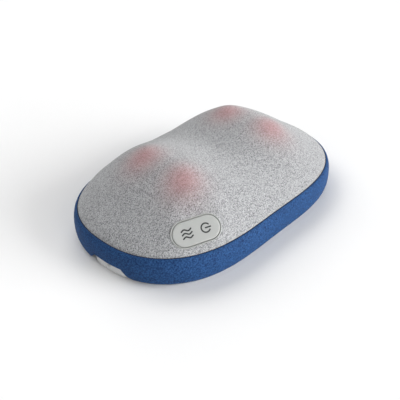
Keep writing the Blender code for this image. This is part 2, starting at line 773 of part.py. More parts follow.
def make_worm(name, side, hand):
    """Worm on the motor shaft. hand is 1 for a right-hand thread."""
    root = WORM_PITCH_RADIUS - DEDENDUM
    tip = WORM_PITCH_RADIUS + ADDENDUM
    inside = root - 0.7
    turns = (WORM_LENGTH - 4) / LEAD
    sections = int(turns * WORM_STEPS)
    rings = []
    for index in range(sections + 1):
        angle = 2 * pi * turns * (index / sections - 0.5)
        centre = side * HEAD_X + hand * LEAD * angle / (2 * pi)
        ring = []
        for radius, half in ((inside, gear_tooth_half(inside - WORM_PITCH_RADIUS)),
                             (tip, gear_tooth_half(ADDENDUM)),
                             (tip, -gear_tooth_half(ADDENDUM)),
                             (inside, -gear_tooth_half(inside - WORM_PITCH_RADIUS))):
            ring.append(Vector((centre + half, DRIVE_Y + radius * cos(angle),
                                DRIVE_Z + radius * sin(angle))))
        rings.append(ring)
    core = rod(name + "_core", (side * HEAD_X - WORM_LENGTH / 2, DRIVE_Y, DRIVE_Z),
               (side * HEAD_X + WORM_LENGTH / 2, DRIVE_Y, DRIVE_Z), root, 14)
    middle = (side * HEAD_X, DRIVE_Y, DRIVE_Z)
    worm = new_object(name, loft(rings), (BRASS, 0.35, 1), origin=middle)
    fuse(worm, core)
    cut(worm, rod(name + "_bore", (side * HEAD_X - 20, DRIVE_Y, DRIVE_Z),
                  (side * HEAD_X + 20, DRIVE_Y, DRIVE_Z), SHAFT_RADIUS + GAP, 12))


def make_gearbox_base():
    """Chassis plate with the lower bearing seats and the saddles under the worm bearings."""
    end = HEAD_X + BOX_HALF_LENGTH + BASE_MARGIN
    front = BOX_FRONT - BASE_LIP
    tab = BOX_FRONT - BASE_TAB_DEPTH
    outline = [(-end, BOX_FRONT), (-end, BOX_BACK), (-BASE_LOBE_X, BOX_BACK),
               (-BASE_NECK_X, BASE_NECK_BACK), (BASE_NECK_X, BASE_NECK_BACK),
               (BASE_LOBE_X, BOX_BACK), (end, BOX_BACK), (end, front), (BASE_NECK_X, front),
               (BASE_TAB_X, tab), (-BASE_TAB_X, tab), (-BASE_NECK_X, front), (-end, front)]
    base = new_object("gearbox_base", prism_mesh(outline, BASE_LOW, BASE_TOP), (GREY, 0.5, 0))
    for side in SIDES.values():
        x = side * HEAD_X
        fuse(base, rod("seat", (x, 0, BASE_LOW + 1), (x, 0, SEAT_TOP), SEAT_RADIUS, 20))
        cut(base, rod("seat_bore", (x, 0, BASE_TOP), (x, 0, SEAT_TOP + 2), BUSH_RADIUS + GAP, 20))
        saddle_x = side * (HEAD_X + BOX_HALF_LENGTH - BOX_WALL / 2)
        low = (saddle_x - SADDLE_HALF, DRIVE_Y - SADDLE_HALF, BASE_LOW + 1)
        high = (saddle_x + SADDLE_HALF, DRIVE_Y + SADDLE_HALF, DRIVE_Z - BEARING_RADIUS - GAP)
        fuse(base, block("saddle", low, high, None))


def make_gearbox(side_name, side, hand):
    """Cover, bushes and bearing around one worm wheel."""
    x = side * HEAD_X
    low = BASE_TOP + GAP
    left = x - BOX_HALF_LENGTH
    right = x + BOX_HALF_LENGTH
    cover = block(side_name + "_gearbox_cover", (left, BOX_FRONT, low + BOX_WALL - BOX_BEVEL),
                  (right, BOX_BACK, BOX_TOP), (GREY, 0.5, 0), bevel=BOX_BEVEL)
    fuse(cover, rod("upper_boss", (x, 0, BOX_TOP - 1), (x, 0, UPPER_BOSS_TOP),
                    UPPER_BOSS_RADIUS, 20))
    cut(cover, block("box_room", (left + BOX_WALL, BOX_FRONT + BOX_WALL, low - 5),
                     (right - BOX_WALL, BOX_BACK - BOX_WALL, BOX_TOP - BOX_WALL), None))
    cut(cover, rod("upper_boss_bore", (x, 0, 20), (x, 0, 50), BUSH_RADIUS + GAP, 20))
    hole = BEARING_RADIUS + GAP
    for wall in (left, right):
        cut(cover, rod("shaft_hole", (wall - 4, DRIVE_Y, DRIVE_Z), (wall + 4, DRIVE_Y, DRIVE_Z),
                       hole, 16))
        cut(cover, block("shaft_slot", (wall - 4, DRIVE_Y - hole, low - 5),
                         (wall + 4, DRIVE_Y + hole, DRIVE_Z), None))
    bush = tube_profile(BUSH_RADIUS, SPINDLE_RADIUS + GAP, 0, BUSH_LENGTH)
    turned(side_name + "_lower_bush", bush, (BRASS, 0.4, 1), at=(x, 0, BASE_TOP + GAP), steps=12)
    bush = tube_profile(BUSH_RADIUS, SPINDLE_RADIUS + GAP, BOX_TOP - BOX_WALL + 0.2, UPPER_BOSS_TOP)
    turned(side_name + "_upper_bush", bush, (BRASS, 0.4, 1), at=(x, 0, 0), steps=12)
    bearing = tube_profile(BEARING_RADIUS, SHAFT_RADIUS + GAP, -BEARING_HALF_LENGTH,
                           BEARING_HALF_LENGTH)
    bearing_x = side * (HEAD_X + BOX_HALF_LENGTH - BOX_WALL / 2)
    turned(side_name + "_worm_bearing", bearing, (BRASS, 0.4, 1), steps=12, along_x=True,
           at=(bearing_x, DRIVE_Y, DRIVE_Z))
    make_wheel(side_name + "_worm_wheel", side, hand)
    make_worm(side_name + "_worm", side, hand)


def make_motor():
    """Double-shaft motor that lies between the gearboxes, with its clamp."""
    at = (0, DRIVE_Y, DRIVE_Z)
    bore = SHAFT_RADIUS + GAP
    can = [(bore, MOTOR_RIGHT - MOTOR_WALL), (MOTOR_RADIUS - MOTOR_WALL, MOTOR_RIGHT - MOTOR_WALL),
           (MOTOR_RADIUS - MOTOR_WALL, MOTOR_LEFT), (MOTOR_RADIUS, MOTOR_LEFT),
           (MOTOR_RADIUS, MOTOR_RIGHT), (bore, MOTOR_RIGHT)]
    turned("motor_can", list(reversed(can)), (STEEL, 0.35, 1), at=at, along_x=True)
    cap = tube_profile(MOTOR_RADIUS, bore, MOTOR_LEFT - GAP - END_CAP_THICKNESS, MOTOR_LEFT - GAP)
    turned("motor_end_cap", cap, (BLACK, 0.5, 0), at=at, along_x=True)
    rotor = tube_profile(ROTOR_RADIUS, bore, ROTOR_LEFT, ROTOR_RIGHT)
    turned("motor_rotor", rotor, (BRASS, 0.5, 1), at=at, along_x=True)
    shaft = disc_profile(SHAFT_RADIUS, -SHAFT_HALF_LENGTH, SHAFT_HALF_LENGTH)
    turned("motor_shaft", shaft, (STEEL, 0.25, 1), at=at, along_x=True, steps=12)
    make_motor_clamp()


def make_motor_clamp():
    """Sheet-metal strap over the motor, with a foot on each side."""
    inner = MOTOR_RADIUS + CLAMP_CLEARANCE
    outer = inner + CLAMP_THICKNESS
    foot_end = outer + CLAMP_FOOT
    foot_low = BASE_TOP + GAP - DRIVE_Z
    foot_top = foot_low + CLAMP_THICKNESS
    outline = [(foot_end, foot_low), (foot_end, foot_top)]
    sweep = [CLAMP_START + CLAMP_SWEEP * step / CLAMP_STEPS for step in range(CLAMP_STEPS + 1)]
    for angle in sweep:
        if outer * sin(angle) > foot_top + 0.5:
            outline.append((outer * cos(angle), outer * sin(angle)))
    outline += [(-foot_end, foot_top), (-foot_end, foot_low), (-outer + 1.2, foot_low)]
    outline += [(inner * cos(angle), inner * sin(angle)) for angle in reversed(sweep)]
    outline.append((outer - 1.2, foot_low))
    bm = prism_mesh(outline, -CLAMP_HALF_WIDTH, CLAMP_HALF_WIDTH)
    upright = Matrix(((0, 0, 1, 0), (1, 0, 0, DRIVE_Y), (0, 1, 0, DRIVE_Z), (0, 0, 0, 1)))
    bmesh.ops.transform(bm, matrix=upright, verts=bm.verts)
    new_object("motor_clamp", bm, (STEEL, 0.4, 1))


# ---------------------------------------------------------------- massage heads

def make_head(side_name, side):
    """Spindle, arm, nut, lamps and the two freely turning massage nodes of one head."""
    x = side * HEAD_X
    spindle = disc_profile(SPINDLE_RADIUS, SPINDLE_LOW, SPINDLE_TOP)
    turned(side_name + "_spindle", spindle, (STEEL, 0.25, 1), at=(x, 0, 0), steps=12)
    outline = pill_outline(2 * (NODE_ORBIT + ARM_RADIUS), 2 * ARM_RADIUS, 8)
    bm = prism_mesh(outline, ARM_LOW, ARM_TOP)
    turn = Matrix.Rotation(pi / 2 - side * NODE_LEAN, 4, "Z")
    bmesh.ops.transform(bm, matrix=Matrix.Translation((x, 0, 0)) @ turn, verts=bm.verts)
    arm = new_object(side_name + "_head_arm", bm, (WHITE, 0.4, 0), origin=(x, 0, ARM_LOW))
    cut(arm, rod("arm_bore", (x, 0, 30), (x, 0, 60), SPINDLE_RADIUS + GAP, 16))
    hexagon = [(x + NUT_RADIUS * cos(angle), NUT_RADIUS * sin(angle)) for angle in angles(6)]
    nut = new_object(side_name + "_arm_nut", prism_mesh(hexagon, ARM_TOP + GAP, NUT_TOP),
                     (STEEL, 0.3, 1))
    cut(nut, rod("nut_bore", (x, 0, 30), (x, 0, 60), SPINDLE_RADIUS + GAP, 12))
    for end_name, end in (("front", -1), ("back", 1)):
        place = node_position(side, end)
        post = rod("post", (place.x, place.y, ARM_LOW + 1), (place.x, place.y, POST_TOP),
                   POST_RADIUS, 14)
        fuse(arm, post)
        name = "%s_%s" % (side_name, end_name)
        make_node(name + "_node", place)
        low = POST_TOP + GAP
        flange = low + LAMP_FLANGE_HEIGHT
        top = low + LAMP_HEIGHT
        lamp = [(0, top), (LAMP_RADIUS - 1, top - 0.8), (LAMP_RADIUS, flange + 0.4),
                (LAMP_RADIUS, flange), (LAMP_FLANGE_RADIUS, flange), (LAMP_FLANGE_RADIUS, low),
                (0, low)]
        turned(name + "_heat_lamp", lamp, (RED, 0.2, 0), at=(place.x, place.y, 0), steps=12)


def make_node(name, place):
    """A gumdrop-shaped massage node, bored from below for its post and lamp."""
    profile = []
    for step in range(6):
        angle = pi / 2 * step / 5
        profile.append((NODE_RADIUS * sin(angle), NODE_CENTRE + NODE_RADIUS * cos(angle)))
    profile += [(NODE_RADIUS, NODE_LOW + 1.5), (NODE_RADIUS - 1.5, NODE_LOW),
                (NODE_BORE, NODE_LOW), (NODE_BORE, POST_TOP + 5.5), (NODE_BORE - 2, POST_TOP + 7),
                (0, POST_TOP + 7.6)]
    turned(name, profile, (RED, 0.3, 0), at=(place.x, place.y, 0), steps=16)


# ---------------------------------------------------------------- battery, board and leads

def make_battery():
    """Three round cells in a tray."""
    half = CELL_LENGTH / 2
    can = half - CELL_TIP_HEIGHT
    cell = [(0, half), (CELL_TIP_RADIUS, half), (CELL_TIP_RADIUS, can), (CELL_RADIUS, can),
            (CELL_RADIUS, -half), (0, -half)]
    for index, y in enumerate(CELL_ROWS):
        turned("battery_cell_%d" % (index + 1), cell, ((0.05, 0.2, 0.32), 0.4, 0),
               at=(0, y, CELL_Z), along_x=True)
    length = half + TRAY_MARGIN_X
    front = CELL_ROWS[0] - CELL_RADIUS - TRAY_MARGIN_Y
    back = CELL_ROWS[-1] + CELL_RADIUS + TRAY_MARGIN_Y
    tray = block("battery_holder", (-length, front, TRAY_LOW), (length, back, TRAY_TOP),
                 (BLACK, 0.5, 0))
    room = half + TRAY_ROOM_X
    cut(tray, block("cell_room", (-room, front + TRAY_WALL_Y, TRAY_FLOOR),
                    (room, back - TRAY_WALL_Y, TRAY_TOP + 3), None))


def make_board():
    """Main board with its larger components."""
    top = BOARD_Z + BOARD_THICKNESS
    board = block("main_board", (-BOARD_X, BOARD_FRONT, BOARD_Z), (BOARD_X, BOARD_BACK, top),
                  (GREEN, 0.4, 0))
    inside = top - 0.6
    for left, front, right, back, height in CHIPS:
        fuse(board, block("chip", (left, front, inside), (right, back, inside + height), None))


def smooth_route(corners, steps):
    """Points along a smooth curve through the corners."""
    ends = [2 * corners[0] - corners[1]] + corners + [2 * corners[-1] - corners[-2]]
    route = []
    for index in range(1, len(ends) - 2):
        before, first, second, after = ends[index - 1:index + 3]
        for step in range(steps):
            t = step / steps
            route.append(0.5 * (2 * first + (second - before) * t
                                + (2 * before - 5 * first + 4 * second - after) * t ** 2
                                + (3 * first - before - 3 * second + after) * t ** 3))
    route.append(corners[-1])
    return route


def make_lead(name, corners, radius, colour):
    """An internal lead along a smooth route."""
    route = smooth_route([Vector(corner) for corner in corners], 2)
    curve = bpy.data.curves.new(name, "CURVE")
    curve.dimensions = "3D"
    curve.bevel_depth = radius * MM
    curve.bevel_resolution = 2
    curve.use_fill_caps = True
    spline = curve.splines.new("POLY")
    spline.points.add(len(route) - 1)
    for point, place in zip(spline.points, route):
        point.co = (*(place * MM), 1)
    lead = bpy.data.objects.new(name, curve)
    curve.materials.append(new_material(name, colour, 0.5))
    PARTS.objects.link(lead)


def make_leads():
    """Leads from the motor, the battery and the keys to the main board."""
    cap = MOTOR_LEFT - END_CAP_THICKNESS - 0.8
    make_lead("motor_lead", [(cap - 1.4, -36, 24), (cap - 4.5, -42, 22), (cap - 3, -49, 16),
                             (-29, -56, 12.2)], LEAD_RADIUS, RED)
    make_lead("battery_lead", [(-8, 25.2, 8), (-8.5, 16, 7.2), (-6, -10, 7.0), (-2, -38, 6.8),
                               (-1, -51.6, 8.0)], LEAD_RADIUS, RED)
    below = key_frame() @ Vector((0, 0, -BEZEL_DEPTH - LEAD_RADIUS - 0.5))
    make_lead("key_lead", [below, below + Vector((4, 3, -8)), (-78, -68, 18), (-60, -66, 12),
                           (-46.6, -66, 9.4)], LEAD_RADIUS, GREY)


# ---------------------------------------------------------------- keys

def keyed(name, bm, look):
    """Make an object from a mesh drawn in the keys' own frame."""
    bmesh.ops.transform(bm, matrix=key_frame(), verts=bm.verts)
    return new_object(name, bm, look, origin=key_frame() @ Vector((0, 0, -PIN_DEPTH)))


def keyed_rod(name, start, end, radius):
    """A cylinder cutter between two points of the keys' own frame."""
    return rod(name, key_frame() @ Vector(start), key_frame() @ Vector(end), radius, 12)


def make_keys():
    """Rocker key on its pin, in a pill-shaped housing with two switches on a board."""
    margin = 2 * (KEY_GAP + BEZEL_WALL)
    room = 2 * KEY_GAP
    floor = BEZEL_FLOOR - BEZEL_DEPTH
    outer = pill_outline(KEY_LENGTH + margin, KEY_WIDTH + margin, PILL_STEPS)
    bezel = keyed("control_bezel", prism_mesh(outer, -BEZEL_DEPTH, BEZEL_PROUD), (WHITE, 0.4, 0))
    inner = pill_outline(KEY_LENGTH + room, KEY_WIDTH + room, PILL_STEPS)
    cut(bezel, keyed("bezel_room", prism_mesh(inner, floor, 5), None))
    half = KEY_WIDTH / 2 + KEY_GAP + BEZEL_WALL
    bore_ends = [(0, end * (half + 2), -PIN_DEPTH) for end in (-1, 1)]
    cut(bezel, keyed_rod("pin_hole", *bore_ends, PIN_RADIUS + GAP))
    key = keyed("rocker_key", prism_mesh(pill_outline(KEY_LENGTH, KEY_WIDTH, PILL_STEPS),
                                         KEY_PROUD - KEY_THICKNESS, KEY_PROUD), (WHITE, 0.35, 0))
    rib_end = KEY_WIDTH / 2 - KEY_RIB_END
    rib = block_mesh((-KEY_RIB_HALF, -rib_end, -PIN_DEPTH - KEY_RIB_HALF),
                     (KEY_RIB_HALF, rib_end, KEY_PROUD - KEY_THICKNESS + 0.6))
    fuse(key, keyed("key_rib", rib, None))
    cut(key, keyed_rod("rib_bore", *bore_ends, PIN_RADIUS + GAP))
    pin = prism_mesh([(PIN_RADIUS * cos(a), PIN_RADIUS * sin(a)) for a in angles(12)],
                     -half + 0.2, half - 0.2)
    bmesh.ops.rotate(pin, matrix=Matrix.Rotation(pi / 2, 3, "X"), verts=pin.verts)
    bmesh.ops.translate(pin, vec=(0, 0, -PIN_DEPTH), verts=pin.verts)
    keyed("key_pivot_pin", pin, (STEEL, 0.3, 1))
    make_switches(floor + GAP)


def make_switches(board_low):
    """Board under the key with the switch for each of its ends."""
    board_top = board_low + KEY_BOARD_THICKNESS
    board = block_mesh((-KEY_BOARD_HALF_LENGTH, -KEY_BOARD_HALF_WIDTH, board_low),
                       (KEY_BOARD_HALF_LENGTH, KEY_BOARD_HALF_WIDTH, board_top))
    keyed("key_board", board, (GREEN, 0.4, 0))
    top = KEY_PROUD - KEY_THICKNESS - PRESS_GAP
    for name, offset in (("heat_switch", -SWITCH_OFFSET), ("power_switch", SWITCH_OFFSET)):
        body = block_mesh((offset - SWITCH_HALF, -SWITCH_HALF, board_top + GAP),
                          (offset + SWITCH_HALF, SWITCH_HALF, top - PLUNGER_HEIGHT))
        switch = keyed(name, body, (BLACK, 0.4, 0))
        fuse(switch, keyed_rod("plunger", (offset, 0, top - PLUNGER_HEIGHT - 1), (offset, 0, top),
                               PLUNGER_RADIUS))


# ---------------------------------------------------------------- the whole object

def main():
    """Build every piece."""
    make_upper_half()
    make_side_band()
    make_bottom_shell()
    make_feet_and_screws()
    make_power_inlet()
    make_gearbox_base()
    for side_name, side in SIDES.items():
        make_gearbox(side_name, side, hand=side)
        make_head(side_name, side)
    make_motor()
    make_battery()
    make_board()
    make_leads()
    make_keys()


main()
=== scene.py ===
import json
from functools import cache
from math import cos, pi, radians, sin

import bmesh
import bpy
import numpy as np
from mathutils import Matrix, Vector


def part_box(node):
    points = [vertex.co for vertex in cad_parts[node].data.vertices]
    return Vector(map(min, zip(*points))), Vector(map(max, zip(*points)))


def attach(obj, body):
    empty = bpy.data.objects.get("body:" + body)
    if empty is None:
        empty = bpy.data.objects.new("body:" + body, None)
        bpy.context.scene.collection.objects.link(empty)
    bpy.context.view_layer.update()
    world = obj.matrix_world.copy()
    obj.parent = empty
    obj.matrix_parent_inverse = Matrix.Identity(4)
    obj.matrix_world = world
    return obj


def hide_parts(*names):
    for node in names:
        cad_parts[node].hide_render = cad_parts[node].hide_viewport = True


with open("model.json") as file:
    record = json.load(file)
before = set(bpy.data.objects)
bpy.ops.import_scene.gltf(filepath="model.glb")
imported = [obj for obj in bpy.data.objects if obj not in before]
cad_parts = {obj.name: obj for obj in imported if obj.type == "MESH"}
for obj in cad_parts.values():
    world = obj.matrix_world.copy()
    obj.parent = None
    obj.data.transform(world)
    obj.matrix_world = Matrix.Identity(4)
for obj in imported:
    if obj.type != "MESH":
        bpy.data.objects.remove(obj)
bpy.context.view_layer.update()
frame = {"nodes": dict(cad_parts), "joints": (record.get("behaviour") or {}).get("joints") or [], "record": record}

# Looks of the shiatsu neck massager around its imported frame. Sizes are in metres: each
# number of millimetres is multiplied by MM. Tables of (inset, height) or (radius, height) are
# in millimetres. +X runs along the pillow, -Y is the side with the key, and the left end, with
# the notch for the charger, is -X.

MM = 0.001

# the pillow's plan outline, as the CAD draws it
HALF_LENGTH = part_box("side_band")[1].x
HALF_SHOULDER = 113.8 * MM
WAIST = 0.11
SQUARENESS = 2.35
SEAM_Z = 34.5 * MM
SEAM_INSET = 5.3 * MM

# the cover's dome, as the CAD draws it
DOME_RISE = 31 * MM
DOME_FLATNESS = 3.24
DOME_EDGE = 0.82
MOUND_RISE = 26 * MM
MOUND_X = 69 * MM
MOUND_LENGTH = 55 * MM
MOUND_WIDTH = 105 * MM
BUMP_RISE = 3 * MM
BUMP_RADIUS = 17 * MM
NODE_SPINS = [joint for joint in frame["joints"] if "_node_spin" in joint["name"]]
NODE_PLACES = [Vector(joint["pos_m"]) for joint in NODE_SPINS]
HEAD_PLACES = [Vector(joint["pos_m"]) for joint in frame["joints"] if "_head_spin" in joint["name"]]

# the rocker key and its housing
KEY_X = -97 * MM
KEY_Y = -73 * MM
KEY_TURN = radians(-24.7)
KEY_SINK = 0.5 * MM
KEY_LENGTH = 48 * MM
KEY_WIDTH = 24.2 * MM
KEY_STRAIGHT = (KEY_LENGTH - KEY_WIDTH) / 2
KEY_GAP = 0.45 * MM
KEY_FLATTEN = 16 * MM
KEY_RAISE = 2.5 * MM
KEY_MARGIN = 2 * MM
BEZEL_WALL = 1.2 * MM
PIN_DEPTH = 4.6 * MM
PIN_RADIUS = 1.1 * MM

# lower half
BAND_LOW = 1 * MM
NOTCH_Y = -10 * MM
NOTCH_HALF_WIDTH = 18.5 * MM
NOTCH_TOP = 14.5 * MM
NOTCH_FLARE = 7.5 * MM
NOTCH_FLARE_POWER = 1.2
FLOOR_Z = 2.6 * MM
WALL = 2.2 * MM

AROUND = 160                  # points around the outline of the large pieces
PILL_ARC = 28                 # points along each round end of the key's pill
PILL_SIDE = 11                # points along each straight side of it
SURFACE_STEP = 0.5 * MM       # the step that slopes are measured over
MERGE_DISTANCE = 0.005 * MM   # points this close in a new mesh are one point
WELD_DISTANCE = 0.001 * MM    # the same after a cut, and on the carried-over CAD nodes
AXIS_RADIUS = 0.001 * MM      # radius that stands for 0 in a turned profile
RUNNING_FIT = 0.3 * MM        # between a pin, or a socket, and its hole

# the four corners that have a foot and a screw, and the signs of their X and Y
CORNERS = {"left_front": (-1, -1), "left_back": (-1, 1), "right_front": (1, -1), "right_back": (1, 1)}


# ---------------- the pillow's surface

def turn_angles(count):
    """Even angles of one full turn."""
    return np.linspace(0, 2 * pi, count, endpoint=False)


def unit(rows):
    """Each row at length 1."""
    return rows / np.linalg.norm(rows, axis=1)[:, None]


def blend_out(away, width):
    """1 up to 0, falling smoothly to 0 at the width."""
    share = np.clip(away / width, 0, 1)
    return 1 - share * share * (3 - 2 * share)


def waist(x, half_length):
    """How much of the width is left at x."""
    along = np.clip(x / half_length, -1, 1)
    return 1 - WAIST / 2 * (1 + np.cos(pi * along))


def outline(angle, inset):
    """Points of the plan outline at these angles, moved inwards by inset."""
    half_length = HALF_LENGTH - inset
    half_width = HALF_SHOULDER - inset
    x = half_length * np.sign(np.cos(angle)) * np.abs(np.cos(angle)) ** (2 / SQUARENESS)
    y = half_width * np.sign(np.sin(angle)) * np.abs(np.sin(angle)) ** (2 / SQUARENESS)
    return x, y * waist(x, half_length)


def reach(x, y):
    """0 in the middle of the pillow and 1 on the seam."""
    half_length = HALF_LENGTH - SEAM_INSET
    half_width = (HALF_SHOULDER - SEAM_INSET) * waist(x, half_length)
    total = np.abs(x / half_length) ** SQUARENESS + np.abs(y / half_width) ** SQUARENESS
    return np.minimum(1, total ** (1 / SQUARENESS))


def dome_height(x, y):
    """Height of the cover over (x, y), before it is flattened for the key."""
    rho = reach(x, y)
    height = SEAM_Z + DOME_RISE * (1 - rho ** DOME_FLATNESS) ** DOME_EDGE
    for side in (-1, 1):
        mound = np.exp(-((x - side * MOUND_X) / MOUND_LENGTH) ** 2 - (y / MOUND_WIDTH) ** 2)
        height = height + MOUND_RISE * mound * (1 - rho ** 4)
    for node in NODE_PLACES:
        away = np.hypot(x - node.x, y - node.y)
        height = height + BUMP_RISE * np.exp(-(away / BUMP_RADIUS) ** 2)
    return height


def slopes(height, x, y):
    """Slopes of a height function in X and in Y."""
    step = SURFACE_STEP
    slope_x = (height(x + step, y) - height(x - step, y)) / (2 * step)
    slope_y = (height(x, y + step) - height(x, y - step)) / (2 * step)
    return slope_x, slope_y


def key_matrix():
    """The key's own frame: X along the pill, Z out of the cover."""
    slope_x, slope_y = slopes(dome_height, KEY_X, KEY_Y)
    normal = Vector((-slope_x, -slope_y, 1)).normalized()
    along = Vector((cos(KEY_TURN), sin(KEY_TURN), 0))
    along.z = -along.dot(normal) / normal.z
    along.normalize()
    turn = Matrix((along, normal.cross(along), normal)).transposed().to_4x4()
    centre = Vector((KEY_X, KEY_Y, dome_height(KEY_X, KEY_Y) - KEY_SINK))
    return Matrix.Translation(centre) @ turn


KEY_FRAME = key_matrix()


def beside_key(x, y):
    """How far (x, y) lies outside the key's pill, measured in the key's plane."""
    z = KEY_FRAME.translation.z
    along, across = [row[0] * x + row[1] * y + row[2] * z + row[3] for row in KEY_FRAME.inverted()[:2]]
    return np.hypot(np.maximum(0, np.abs(along) - KEY_STRAIGHT), across) - KEY_WIDTH / 2


def cover_height(x, y):
    """Height of the cover's outer face, flattened towards the key's plane around the key."""
    weight = blend_out(beside_key(x, y) - KEY_MARGIN, KEY_FLATTEN)
    normal = KEY_FRAME.col[2]
    tilt = normal.x * (x - KEY_X) + normal.y * (y - KEY_Y)
    plane = KEY_FRAME.translation.z - tilt / normal.z
    dome = dome_height(x, y)
    return dome + KEY_RAISE * np.tanh((plane - dome) / KEY_RAISE) * weight


def skin_ring(angle, share, depth):
    """A ring of the dome at a share of the way to the seam, at a depth below the cover."""
    half_length = HALF_LENGTH - SEAM_INSET
    edge_x, edge_y = outline(angle, SEAM_INSET)
    x = edge_x * share
    y = edge_y * share * waist(x, half_length) / waist(edge_x, half_length)
    slope_x, slope_y = slopes(cover_height, x, y)
    length = np.sqrt(slope_x ** 2 + slope_y ** 2 + 1)
    z = cover_height(x, y) - depth / length
    return np.stack([x + depth * slope_x / length, y + depth * slope_y / length, z], 1)


def level_ring(angle, inset, z):
    """The plan outline at one inset and one height, which may both vary around it."""
    x, y = outline(angle, inset)
    return np.stack([x, y, z + 0 * x], 1)


# ---------------- making objects

def link_object(name, data):
    """Add an object that shows this mesh, light or camera to the scene."""
    obj = bpy.data.objects.new(name, data)
    bpy.context.scene.collection.objects.link(obj)
    return obj


def merge_points(mesh, distance, outwards=False):
    """Merge points that are closer than a distance, and turn the faces outwards if asked."""
    bm = bmesh.new()
    bm.from_mesh(mesh)
    bmesh.ops.remove_doubles(bm, verts=bm.verts, dist=distance)
    if outwards:
        bmesh.ops.recalc_face_normals(bm, faces=bm.faces)
    bm.to_mesh(mesh)
    bm.free()


def add_object(name, points, faces):
    """Make an object from points and faces."""
    mesh = bpy.data.meshes.new(name)
    mesh.from_pydata([tuple(point) for point in points], [], faces)
    merge_points(mesh, MERGE_DISTANCE, outwards=True)
    return link_object(name, mesh)


def loft(name, rings, joined=False):
    """Skin a list of equal rings. Joined closes the last ring to the first one; otherwise both
    ends get a cap, a fan around their middle."""
    count = len(rings[0])
    points = np.concatenate(rings)
    faces = []
    rows = len(rings)
    for row in range(rows if joined else rows - 1):
        near = row * count
        far = (row + 1) % rows * count
        for index in range(count):
            after = (index + 1) % count
            faces.append((near + index, near + after, far + after, far + index))
    if not joined:
        for row in (0, rows - 1):
            middle = rings[row].mean(0)
            points = np.concatenate([points, middle[None]])
            last = len(points) - 1
            start = row * count
            faces += [(start + index, start + (index + 1) % count, last) for index in range(count)]
    return add_object(name, points, faces)


def revolve(name, profile, at, steps=48, axis="Z"):
    """Turn a closed profile of (radius, height) points around an axis through a point."""
    angle = turn_angles(steps)
    rings = []
    for radius, height in profile:
        radius = max(radius, AXIS_RADIUS)
        around = np.stack([radius * np.cos(angle), radius * np.sin(angle), height + 0 * angle], 1)
        rings.append(around if axis == "Z" else around[:, [2, 0, 1]])
    rings = [ring + np.array(at) for ring in rings]
    return loft(name, rings, joined=profile[0][0] > 0)


def smooth_path(corners, steps):
    """Points along a smooth curve through the corners."""
    corners = [np.array(corner, float) for corner in corners]
    ends = [2 * corners[0] - corners[1]] + corners + [2 * corners[-1] - corners[-2]]
    path = []
    for index in range(1, len(ends) - 2):
        before, first, second, after = ends[index - 1:index + 3]
        for t in np.arange(steps) / steps:
            path.append(0.5 * (2 * first + (second - before) * t
                               + (2 * before - 5 * first + 4 * second - after) * t ** 2
                               + (3 * first - before - 3 * second + after) * t ** 3))
    path.append(corners[-1])
    return np.array(path)


def arc(centre, radius, start, end, steps):
    """Points of an arc, from one angle in degrees to another."""
    angle = np.radians(np.linspace(start, end, steps))
    return [(centre[0] + radius * np.cos(a), centre[1] + radius * np.sin(a)) for a in angle]


def box_tool(low, high):
    """A box between two corners, to cut or join with."""
    x0, y0, z0 = low
    x1, y1, z1 = high
    ring = np.array([(x0, y0, 0), (x1, y0, 0), (x1, y1, 0), (x0, y1, 0)])
    return loft("tool", [ring + np.array((0, 0, z)) for z in (z0, z1)])


def rod_tool(start, end, radius, steps=40):
    """A cylinder between two points, to cut or join with."""
    start = Vector(start)
    end = Vector(end)
    turn = (end - start).to_track_quat("Z", "Y").to_matrix()
    angle = turn_angles(steps)
    circle = [turn @ Vector((radius * cos(a), radius * sin(a), 0)) for a in angle]
    rings = [np.array([point + place for point in circle]) for place in (start, end)]
    return loft("tool", rings)


def apply_modifiers(obj):
    """Make an object's modifiers part of its mesh."""
    graph = bpy.context.evaluated_depsgraph_get()
    mesh = bpy.data.meshes.new_from_object(obj.evaluated_get(graph))
    obj.modifiers.clear()
    obj.data = mesh


def combine(obj, tools, operation):
    """Cut tools out of an object or join them to it, and remove them."""
    for tool in tools:
        boolean = obj.modifiers.new("combine", "BOOLEAN")
        boolean.operation = operation
        boolean.solver = "EXACT"
        boolean.object = tool
        apply_modifiers(obj)
        bpy.data.objects.remove(tool)
    merge_points(obj.data, WELD_DISTANCE)


def place_at_key(obj):
    """Move a piece that was drawn in the key's own frame to its place on the cover."""
    obj.data.transform(KEY_FRAME)


def settle(obj, body, slot, nodes=(), sharp=40, material=None):
    """Shade an object, give it its slot's material or one of its own, and let it ride on a body
    in place of the nodes that it replaces."""
    obj.data.shade_smooth()
    obj.data.set_sharp_from_angle(angle=radians(sharp))
    obj.data.materials.clear()
    obj.data.materials.append(material or material_of(slot))
    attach(obj, body)
    if nodes:
        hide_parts(*nodes)


# ---------------- materials

def opaque(colour):
    """A plain colour with its alpha; anything else stays as it is."""
    return (*colour, 1.0) if isinstance(colour, tuple) else colour


